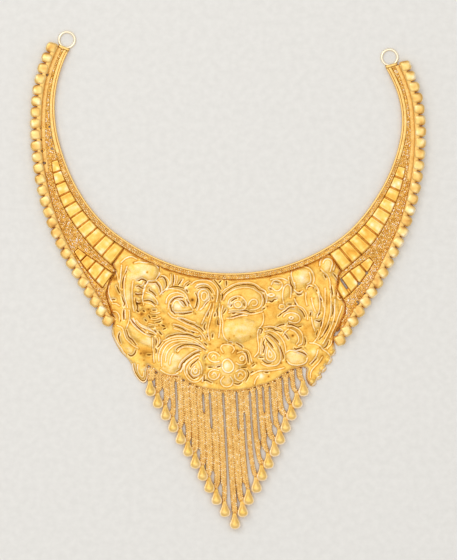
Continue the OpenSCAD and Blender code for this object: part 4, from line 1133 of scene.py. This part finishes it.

# Columns: x, y, radius and change of painted shade of a spot: painted highlights where it rises, painted
# shadows where it falls, and some paler or deeper gold
SPOTS = [
    (-30.2, 2.6, 0.9, 0.25), (-29.5, 2.8, 0.35, -0.7), (-25.1, 2, 0.6, 0.3), (-31.5, 4.5, 2.6, 0.08),
    (-37, -6, 1.6, 0.12), (-34.5, -5, 0.8, 0.1), (-41.4, 0.4, 1, -0.2), (-27.2, -2.3, 1, 0.2),
    (-28.2, -5.8, 1.2, 0.2), (-28.7, -8.7, 0.9, 0.2), (-24.8, -6.1, 0.3, -0.4), (-29, -10.7, 0.5, -0.4),
    (-31.5, -12.6, 0.8, -0.22), (-28.6, -13.4, 0.8, -0.14), (-31.6, -1, 0.7, 0.16), (-32.8, -3.9, 0.8, 0.16),
    (-32.7, -7.1, 0.8, 0.16), (-32, -10.1, 0.8, 0.14), (-33.6, -5.5, 0.5, -0.22), (-31.2, -5.4, 0.5, -0.2),
    (-33.3, -8.8, 0.5, -0.2), (-31.1, -8.7, 0.5, -0.2), (-30.8, -11.1, 0.4, -0.2), (-23.5, -14.4, 0.4, -0.25),
    (-23.4, -17.1, 0.8, -0.2), (-21.5, -15.9, 0.4, -0.25), (-18.3, -9.7, 1.8, 0.18), (-13, -7.2, 0.6, -0.4),
    (-12.3, -10.4, 0.4, -0.35), (-11.8, -12.4, 0.4, -0.35), (-9, -4.4, 0.8, 0.1), (-15.3, -2.8, 0.5, 0.3),
    (-19.8, -28.5, 3, 0.1), (-23, -31.5, 0.35, -0.4), (-18.5, -26.5, 0.7, -0.2), (-13.4, -25.3, 0.6, 0.15),
    (-11.7, -33.8, 0.9, 0.15), (-36, -25.5, 1.2, 0.15), (-29.3, -22.5, 1.6, 0.2), (-30, -27, 2, -0.12),
    (-31.8, -26.8, 0.35, -0.35), (-30.7, -29.2, 0.35, -0.35), (-30.5, -32.5, 1, 0.12),
    (-30.5, -31.1, 0.3, -0.3), (-0.7, -18.2, 0.8, 0.2), (2.2, -20.3, 0.3, -0.35), (0.5, -21.3, 0.3, -0.35),
    (8.2, -20.7, 0.3, -0.35), (-1, -14.7, 0.4, -0.35), (-6.5, -23.3, 0.4, -0.35), (0.2, -9.3, 0.8, 0.3),
    (4.2, -9.2, 1, 0.1), (12, -7.7, 0.9, 0.15), (4.25, -6.75, 0.25, -0.35), (14.4, -9.6, 0.3, -0.35),
    (5, -5, 2.5, -0.1), (-0.5, -31.3, 1.1, 0.25), (0, -24, 0.7, 0.25), (5.5, -28, 0.9, 0.12),
    (-6, -28, 1.1, 0.12), (-5.2, -34, 1.1, 0.12), (-0.5, -37, 1.2, 0.15), (-8, -38.3, 0.7, 0.2),
    (-2.8, -35.7, 0.3, -0.35), (-4.2, -37.7, 0.3, -0.35), (-4.7, -25.4, 0.35, -0.3),
    (-3.7, -24.6, 0.35, -0.3), (-3.5, -26.2, 0.35, -0.3), (-8, -30.8, 0.4, -0.35), (-8.3, -32.8, 0.35, -0.3),
    (3.3, -25.7, 0.4, -0.35), (2.2, -24, 0.3, -0.35), (-1.8, -23.3, 0.3, -0.35), (17.7, -2, 1, 0.15),
    (21.1, -0.8, 0.8, 0.2), (27.3, 0.5, 1.6, 0.2), (24.6, -6.5, 0.4, -0.4), (31.2, -2.6, 0.4, -0.35),
    (31.4, -6.6, 0.4, -0.35), (32.3, -4, 0.35, -0.3), (34, -7.1, 0.35, -0.3), (26.1, -4.1, 0.3, -0.35),
    (36.5, -8, 1.2, -0.12), (40.7, -3.6, 0.8, 0.12), (40.9, -6.5, 0.35, -0.35), (23, -13.8, 0.3, -0.5),
    (20.3, -16.2, 0.35, -0.35), (21.5, -18.5, 0.35, -0.35), (23.6, -20.3, 0.5, -0.45), (15.7, -27, 1.4, 0.15),
    (19.5, -30.3, 0.35, -0.35), (27.5, -23.7, 0.3, -0.35), (24.5, -28, 2.2, 0.12), (26.7, -22, 0.9, 0.1),
    (21.3, -29.8, 0.35, -0.35), (10.3, -30.3, 0.35, -0.35), (9, -30.2, 0.35, -0.35), (12.1, -34.9, 1.1, 0.32),
    (14.8, -35.2, 0.35, -0.35), (16.8, -36.9, 0.35, -0.35), (17.7, -37.8, 0.35, -0.35),
    (32.7, -16.7, 0.8, 0.15), (33.2, -15.2, 0.3, -0.35), (38.8, -15.2, 0.4, -0.35), (31, -26.2, 1.2, 0.18),
    (33.5, -24.7, 0.35, -0.35), (38.5, -22.4, 0.35, -0.35), (39.8, -23, 0.35, -0.35), (37.7, -28.7, 0.6, 0.3),
    (36.7, -30.3, 0.6, 0.3), (32.7, -35.7, 0.6, 0.3), (30.5, -38.2, 0.3, -0.3), (-31.8, -8.6, 2, -0.14),
    (-31.4, -12.4, 2, -0.16), (-28, -13.6, 2, -0.1), (-25, -16.4, 2, -0.1), (-22.8, -15.4, 1.4, -0.08),
    (-32.2, -4.4, 1.4, -0.14), (-13.2, -7.4, 1.5, -0.18), (-5.4, -9.6, 1.6, -0.14), (-5.6, -15.4, 2.2, -0.16),
    (-30, -26.4, 2.2, -0.14), (2.6, -26.6, 1.6, -0.18), (6.6, -31.4, 1.6, -0.2), (1.4, -28.6, 1.2, -0.14),
    (15.4, -12.6, 3, -0.08), (25.4, -15.6, 2, -0.08), (23.4, -20.2, 1.2, -0.16), (29.4, -18.4, 3, -0.1),
    (36.4, -7.6, 2, -0.1), (36.2, -18, 3, -0.12), (34.2, -27.4, 2, -0.14), (-42, 0.6, 1.2, -0.2),
    (-42.6, -11.4, 1.6, -0.18), (31.6, 5.8, 2, -0.14), (40.2, 5.4, 1.6, -0.12), (-21.2, 2, 0.9, -0.1),
    (-14, 1.3, 0.9, -0.1), (33.6, 3.3, 0.35, -0.35), (37, 6.5, 1.6, 0.1), (-42.1, -16.7, 0.35, -0.4),
    (-43, -9.5, 0.35, -0.4), (-39.3, -14.8, 0.4, -0.35), (15.5, 1.2, 0.35, -0.3), (18.3, -8, 0.35, -0.35),
    (-28.8, 6.5, 0.5, -0.25), (-34.3, 6.3, 0.4, -0.3), (18.5, -6, 1, 0.16), (-37.3, 8.4, 1.2, 0.14),
    (32, -15.6, 1, 0.14), (31, -13.2, 0.7, 0.12), (31.6, -8.8, 2.2, 0.06), (16.4, -8.6, 1.6, -0.12),
    (-34.6, 0.8, 2.4, 0.06), (-40.6, -5, 1.2, -0.12),
]


def flowing(points, steps=3):
    """Points on a smooth curve through a few chosen ones."""
    points = np.array(points, float)
    if len(points) < 3:
        return points
    before = np.vstack([2 * points[0] - points[1], points, 2 * points[-1] - points[-2]])
    found = []
    for i in range(len(points) - 1):
        a, b, c, d = before[i : i + 4]
        for t in np.arange(steps) / steps:
            straight = 2 * b + (c - a) * t
            found.append(
                0.5 * (straight + (2 * a - 5 * b + 4 * c - d) * t**2 + (3 * b - a - 3 * c + d) * t**3)
            )
    return np.array(found + [points[-1]])


def nearest(spots, lines, reach, slim=0.0):
    """Distance from each spot to the nearest line, at most reach; slim counts the ends of lines as thinner."""
    found = np.full(len(spots), reach)
    for line in lines:
        near = np.where(np.all((spots > line.min(0) - reach) & (spots < line.max(0) + reach), axis=1))[0]
        for k, (a, b) in enumerate(zip(line, line[1:])):
            along = b - a
            t = np.clip((spots[near] - a) @ along / max(along @ along, 1e-9), 0, 1)
            gap = np.linalg.norm(spots[near] - a - t[:, None] * along, axis=1)
            width = 1 - slim + slim * np.sin(math.pi * (k + t) / (len(line) - 1))
            found[near] = np.minimum(found[near], gap / width)
    return found


def bell(distance, width):
    """1 at no distance, falling off in a bell curve of that width."""
    return np.exp(-((distance / width) ** 2))


def inside(spots, outline):
    """Whether each spot lies inside a closed outline."""
    found = np.zeros(len(spots), bool)
    for (x0, y0), (x1, y1) in zip(outline, np.roll(outline, -1, axis=0)):
        if y0 != y1:
            crosses = (y0 > spots[:, 1]) != (y1 > spots[:, 1])
            found ^= crosses & (spots[:, 0] < x0 + (spots[:, 1] - y0) * (x1 - x0) / (y1 - y0))
    return found


def plan(piece):
    """The x and y of a mesh's points."""
    return np.array([point.co[:2] for point in piece.verts])


arc = [around(smooth(NECKLINE, a, 2) + 0.02, a)[:2] for a in np.linspace(PANEL_ENDS[1], PANEL_ENDS[0], 75)]
outline = np.vstack([flowing(HEM), flowing(PANEL_RIGHT), SEAM_RIGHT, arc, SEAM_LEFT, flowing(PANEL_LEFT)])
edge_line = np.vstack([outline, outline[:1]])
chased = [flowing(line) for line in CHASED]


def domes_at(spots):
    """Height of the raised domes above the sheet at each spot."""
    total = np.zeros(len(spots))
    for x, y, length, width, turn, top in DOMES:
        turn = math.radians(turn)
        across = spots - (x, y)
        u = (across[:, 0] * math.cos(turn) + across[:, 1] * math.sin(turn)) / (length / 2)
        v = (across[:, 1] * math.cos(turn) - across[:, 0] * math.sin(turn)) / (width / 2)
        v = v / (1 - DOME_TAPER * np.clip(u, -1, 1))
        total += np.maximum(0, (top - SHEET_TOP) * (1 - u * u - v * v)) ** 3
    return total ** (1 / 3)


def relief(spots):
    """Height and painted shade of the panel's sheet at each spot."""
    line_gap = nearest(spots, chased, 3.0)
    cut_gap = nearest(spots, chased, 3.0, slim=0.55)
    wire_gap = nearest(spots, [flowing(line) for line in CREST_WIRES], 1.5)
    motif_gap = nearest(spots, [flowing(line) for line in MOTIFS], 1.5)
    edge_gap = nearest(spots, [edge_line], 3.0)
    dome = domes_at(spots)
    swell = 1 - bell(np.minimum(line_gap, edge_gap * 1.4), SWELL_WIDTH)
    groove = bell(cut_gap, GROOVE_WIDTH)
    lip = bell(line_gap - LIP_AT, LIP_WIDTH)
    crest = np.maximum(bell(wire_gap, CREST_WIDTH), 0.8 * bell(motif_gap, MOTIF_WIDTH))
    beside = bell(np.minimum(wire_gap, motif_gap) - BESIDE_AT, BESIDE_WIDTH) * (cut_gap > 0.3)
    ripple = np.array([noise.noise(Vector((x * 0.55, y * 0.55, 0))) for x, y in spots])
    height = SHEET_TOP + 0.1 + 0.36 * dome + 0.4 * swell + 0.16 * crest - 0.06 * beside + 0.12 * ripple * swell
    height = height - GROOVE_DEPTH * groove * (height - 0.4)
    neckline = np.linalg.norm(spots - (0, NECK_Y), axis=1) < 66.5
    edge_drop = np.where(neckline, 0.2, 0.55) * (1 - np.clip(edge_gap / 0.7, 0, 1) ** 0.5)
    height = EDGE_FOOT + (np.minimum(height, PANEL_TOP) - EDGE_FOOT) * (1 - edge_drop)
    # Painted highlight along the panel's outer edge, away from the neckline
    rim = bell(edge_gap - 0.35, 0.35) * ~neckline
    # Painted light on domes, swells, lips and crests, painted shade in grooves and beside wires and motifs; the
    # ripple also lightens it where it raises the sheet
    shade = 0.53 + 0.05 * dome + 0.04 * swell + 0.3 * lip + 0.45 * crest + 0.3 * rim
    shade += 0.12 * ripple - 0.7 * groove - 0.24 * beside
    # Painted highlights and painted shadows in round spots, with some spots of paler or deeper gold
    for x, y, radius, change in SPOTS:
        shade += change * bell(np.linalg.norm(spots - (x, y), axis=1), radius)
    return height, np.clip(shade, *SHADES)


panel_gold = gold_finish(
    "panel_gold", YELLOW_GOLD, roughness=0.42, mottle=0.22, hammer=0.35, hammer_size=0.0006
)
low, high = outline.min(0), outline.max(0)
cells = np.ceil((high - low) / CELL).astype(int)
panel = new_piece()
shade = panel.verts.layers.float["shade"]
bmesh.ops.create_grid(panel, x_segments=int(cells[0]), y_segments=int(cells[1]), size=0.5)
bmesh.ops.scale(panel, vec=(*(high - low), 1), verts=panel.verts)
bmesh.ops.translate(panel, vec=(*((high + low) / 2), 0), verts=panel.verts)

# Cells outside the outline go, and the edge of what is left is pulled onto the outline
kept = inside(plan(panel), outline)
away = nearest(plan(panel), [edge_line], 1.0)
outside = [point for point, keep, gap in zip(panel.verts, kept, away) if not keep and gap > 0.62 * CELL]
bmesh.ops.delete(panel, geom=outside, context="VERTS")
loose = [point for point in panel.verts if not point.link_faces]
bmesh.ops.delete(panel, geom=loose, context="VERTS")
starts = edge_line[:-1]
along = edge_line[1:] - starts
for point in panel.verts:
    if any(edge.is_boundary for edge in point.link_edges):
        here = np.array(point.co[:2])
        t = np.clip(((here - starts) * along).sum(1) / np.maximum((along * along).sum(1), 1e-9), 0, 1)
        feet = starts + t[:, None] * along
        point.co[:2] = feet[np.argmin(np.linalg.norm(feet - here, axis=1))]

# Cells along the chased lines are halved, and every point takes its height and painted shade
close = nearest(plan(panel), chased, 1.0)
panel.verts.index_update()
fine = [edge for edge in panel.edges if max(close[point.index] for point in edge.verts) < FINE_REACH]
bmesh.ops.subdivide_edges(panel, edges=fine, cuts=1, use_grid_fill=True)
for point, height, tone in zip(panel.verts, *relief(plan(panel))):
    point.co.z = height
    point[shade] = tone
# The walls down to the floor are painted dark as shade
for part in drop_edge(panel):
    if isinstance(part, bmesh.types.BMVert):
        part[shade] = WALL_SHADE
finish_piece(panel, "centre_panel_sheet", panel_gold, "panel_gold", "centre_panel")


def solder_strip(piece, seam):
    """Strip of solder along a seam, just over the floor, painted dark as shade down in the seam."""
    route = flowing(seam)

    def place(u, v):
        at = u * (len(route) - 1)
        x, y = (np.interp(at, range(len(route)), route[:, k]) for k in (0, 1))
        across, up = math.cos(2 * math.pi * v), squared(math.sin(2 * math.pi * v), 0.3)
        return Vector((x + SOLDER_REACH * across, y, SOLDER_MIDDLE + SOLDER_RISE * up)), SOLDER_SHADE

    bent_grid(piece, 40, 10, place)


solder = new_piece()
solder_strip(solder, SEAM_LEFT + [PANEL_LEFT[0]])
solder_strip(solder, [(39.5, -18.8)] + SEAM_RIGHT)
finish_piece(solder, "centre_panel_solder", panel_gold, "panel_gold")

# Fringe chains: fine foxtail chain cut to length, the longest in the middle.
# Each hangs from a loop under the panel's hem, and its links lie side by side like a flat plait.
SIDE_STRANDS = 11
STRANDS = range(-SIDE_STRANDS, SIDE_STRANDS + 1)
STRAND_PITCH = 2.44
STRAND_LEAN = 0.06
STRAND_X = -0.44
STRAND_Y = -43.8
TIP_Y = -90.93
DROP_STEP = 4.4
DROP_LENGTH = 6.2
OPEN_GAP = 0.62
CLOSED_LAP = 0.3
CORE_MIDDLE = 0.6
CORE_RISE = 0.45
CORE_SHADE = 0.58
CHAIN_LINK = 0.82
LINK_WIDTH = 0.175
LINK_LENGTHS = (0.5, 0.72)
LINK_RISE = 0.5
LINK_MIDDLE = 0.9
LINK_TONES = (0.54, 0.66, 0.74, 0.92)

# Sideways swing of each drop from its strand's straight line, from left to right
SWING = [
    -0.75, -0.75, -0.6, -0.55, -0.55, -0.55, -0.6, -0.7, -0.95, -1, -0.65, 0.3,
    0.95, 0.9, 1.6, 1.45, 1.65, 1.7, 1.45, 1.35, 1.25, 1.2, 1.3,
]

# Columns: strand on the left of an opening between two chains, y of its upper end, y of its lower end
OPENINGS = [
    (-10, -39.8, -44.0), (-9, -43.3, -47.2), (-8, -37.0, -51.7), (-7, -52.8, -58.2), (-4, -41.6, -48.3),
    (-5, -62.0, -67.4), (-3, -41.4, -54.0), (-3, -70.0, -75.6), (-2, -74.8, -81.0), (-1, -41.3, -86.0),
    (1, -40.8, -54.5), (1, -74.2, -80.5), (2, -48.7, -79.5), (3, -40.8, -73.0), (4, -40.0, -58.2),
    (4, -61.8, -65.2), (5, -39.0, -48.2), (5, -58.0, -63.2), (6, -39.0, -51.5), (6, -53.4, -56.6),
    (7, -49.0, -55.0), (8, -36.0, -47.3), (9, -35.7, -45.0), (10, -32.0, -40.0),
]

chain_gold = gold_finish("chain_gold", PINK_GOLD, roughness=0.4, mottle=0.26, hammer=0.2, hammer_size=0.0012)


def strand_x(strand, y):
    """Middle of a strand's straight line at y."""
    return STRAND_X + strand * STRAND_PITCH + STRAND_LEAN * (STRAND_Y - y)


def drop_foot(strand):
    """Height in the picture of a drop's lower end."""
    return TIP_Y + abs(strand) * DROP_STEP


def drop_x(strand):
    """Middle of a drop's lower end."""
    return strand_x(strand, drop_foot(strand)) + SWING[strand + SIDE_STRANDS]


def opening(strand, y):
    """How far the gap on the right of a strand stands open at y. Closed chains lap a little."""
    most = -CLOSED_LAP
    for left, top, foot in OPENINGS:
        if left == strand and foot - 0.5 < y < top + 0.5:
            most = max(most, OPEN_GAP * min(1, top + 0.5 - y, y - foot + 0.5))
    return most


def fringe_chain(strand):
    """One chain: a flat core, and three columns of links with their own turn, length and tone over it."""
    made = new_piece()
    top = lookup(HEM, strand_x(strand, lookup(HEM, strand_x(strand, STRAND_Y)))) + 0.15
    foot = drop_foot(strand) + DROP_LENGTH - 0.5
    lean = drop_x(strand) - STRAND_LEAN * DROP_LENGTH - strand_x(strand, foot)

    def sides(y):
        middle = strand_x(strand, y) + lean * ((top - y) / (top - foot)) ** 6
        slim = 0.45 * max(0, 1 - (y - foot) / 1.1) ** 1.5
        left = middle - STRAND_PITCH / 2 + opening(strand - 1, y) / 2 + slim
        right = middle + STRAND_PITCH / 2 - opening(strand, y) / 2 - slim
        return left, right

    def place(u, v):
        y = between(top, foot, u)
        x = between(*sides(y), 0.5 + 0.5 * squared(math.cos(2 * math.pi * v), 0.5))
        up = squared(math.sin(2 * math.pi * v), 0.3)
        return Vector((x, y, CORE_MIDDLE + CORE_RISE * up)), CORE_SHADE

    bent_grid(made, max(4, int((top - foot) / 0.9)), 10, place)
    links = int((top - foot) / CHAIN_LINK)
    for i in range(links):
        y = top - (i + 0.5) * (top - foot) / links
        left, right = sides(y)
        width = right - left
        for side in (-1, 0, 1):
            x = (left + right) / 2 + side * width / 3
            spot = Vector((x, y + CHAIN_LINK * (0.4 * (side == 0) + stray(0.15)), LINK_MIDDLE))
            tone = random.choice(LINK_TONES)
            size = (width * LINK_WIDTH, CHAIN_LINK * random.uniform(*LINK_LENGTHS), LINK_RISE)
            grain(made, spot, size, stray(0.3), tone)
    name = f"fringe_chain_{strand + SIDE_STRANDS + 1:02d}"
    finish_piece(made, name + "_links", chain_gold, "chain_gold", name)


for strand in STRANDS:
    fringe_chain(strand)

# Fringe drops: one hollow pear drop on the end of each chain.
# Each is pressed from two halves with a small rim where they meet, and soldered to the last link.
PEAR = [
    (0, 0), (1.2, 0.28), (1.86, 0.95), (2.05, 1.8), (1.8, 2.8), (1.28, 3.8), (0.92, 4.8), (0.76, 5.7),
    (0.66, 6.1), (0, 6.2),
]
PEAR_HEART = Vector((0, 2.1))
PEAR_SIDES = 32
PEAR_MIDDLE = 1.65
NECK_SINK = 0.8
NECK_SLIM = 0.68
NECK_SHADE = 0.6

# Columns: share of the way from the drop's middle to its outline, height, painted shade: a painted highlight
# round the rim, painted shade underneath
PEAR_RINGS = [
    (0.0, 3.16, 0.67), (0.35, 3.1, 0.67), (0.58, 2.9, 0.68), (0.7, 2.7, 0.7), (0.77, 2.61, 0.74),
    (0.85, 2.64, 0.9), (0.94, 2.45, 1.0), (1.0, 1.9, 0.95), (0.96, 1.2, 0.65), (0.75, 0.45, 0.5),
    (0.4, 0.08, 0.45), (0.0, 0.0, 0.4),
]

drop_gold = gold_finish("drop_gold", YELLOW_GOLD, roughness=0.42, mottle=0.22, hammer=0.2, hammer_size=0.0012)
pear_half = flowing(PEAR)
pear_outline = np.vstack([pear_half, pear_half[::-1][1:] * (-1, 1)])


def fringe_drop(strand):
    """One drop: rings from the middle of its front over its outline to the middle of its back."""
    made = new_piece()
    base = Vector((drop_x(strand), drop_foot(strand), 0))
    turn = Matrix.Rotation(math.atan(STRAND_LEAN), 3, "Z")
    at = np.linspace(0, len(pear_outline) - 1, PEAR_SIDES + 1)

    def place(u, v):
        step = at[round(u * PEAR_SIDES)]
        rim = Vector([np.interp(step, range(len(pear_outline)), pear_outline[:, k]) for k in (0, 1)])
        share, rise, tone = PEAR_RINGS[round(v * (len(PEAR_RINGS) - 1))]
        flat = PEAR_HEART.lerp(rim, share)
        neck = max(0, flat.y - PEAR_HEART.y) / (DROP_LENGTH - PEAR_HEART.y)
        height = PEAR_MIDDLE - NECK_SINK * neck + (rise - PEAR_MIDDLE) * (1 - NECK_SLIM * neck)
        return base + turn @ Vector((flat.x, flat.y, height)), between(tone, NECK_SHADE, neck)

    bent_grid(made, PEAR_SIDES, len(PEAR_RINGS) - 1, place)
    name = f"fringe_drop_{strand + SIDE_STRANDS + 1:02d}"
    finish_piece(made, name + "_pear", drop_gold, "drop_gold", name)


for strand in STRANDS:
    fringe_drop(strand)

# Floor, light and camera: the necklace lies on a plain pale table under a wide soft lamp.
# The camera looks straight down on it from a metre away, as the photograph was taken.
TABLE_STOPS = [(0.3, colour(226, 224, 220)), (0.7, colour(232, 230, 226))]
ROOM_COLOUR = (0.9, 0.89, 0.87, 1)
PICTURE_HEIGHT = 204.4
PICTURE_MIDDLE = 0.18
CAMERA_UP = 1.0
SENSOR = 36

table_paint, make = new_finish("pale_table")
speckle = make.node(
    "ShaderNodeTexNoise", Vector=make.node("ShaderNodeTexCoord", "Object"), Scale=400.0, Detail=2.0
)
paint = make.node("ShaderNodeValToRGB", settings={"stops": TABLE_STOPS}, Fac=speckle)
surface = make.node("ShaderNodeBsdfPrincipled", Base_Color=paint, Roughness=0.75)
make.node("ShaderNodeOutputMaterial", Surface=surface)

floor = bmesh.new()
bmesh.ops.create_grid(floor, x_segments=1, y_segments=1, size=2.0)
table = to_mesh(floor, "table_top")
table.materials.append(table_paint)
place_object("table_top", table)


def soft_lamp(name, spot, size, power):
    """Round lamp that shines on the middle of the necklace."""
    lamp = bpy.data.lights.new(name, "AREA")
    lamp.shape = "DISK"
    lamp.size = size
    lamp.energy = power
    made = place_object(name, lamp)
    made.location = spot
    made.rotation_euler = (-Vector(spot)).to_track_quat("-Z", "Y").to_euler()


soft_lamp("overhead_lamp", (-0.05, 0.05, 1.2), 1.7, 4.7)
soft_lamp("side_lamp", (-0.45, 0.45, 0.7), 0.3, 1.0)

room = bpy.data.worlds.new("studio")
room.use_nodes = True
room.node_tree.nodes["Background"].inputs["Color"].default_value = ROOM_COLOUR
room.node_tree.nodes["Background"].inputs["Strength"].default_value = 0.8
bpy.context.scene.world = room
bpy.context.scene.view_settings.view_transform = "Standard"

lens = bpy.data.cameras.new("camera")
lens.sensor_fit = "VERTICAL"
lens.sensor_height = SENSOR
lens.lens = SENSOR * CAMERA_UP / (PICTURE_HEIGHT * MM)
lens.clip_start = 0.05
camera = place_object("camera", lens)
camera.location = (PICTURE_MIDDLE * MM, 0, CAMERA_UP)
bpy.context.scene.camera = camera
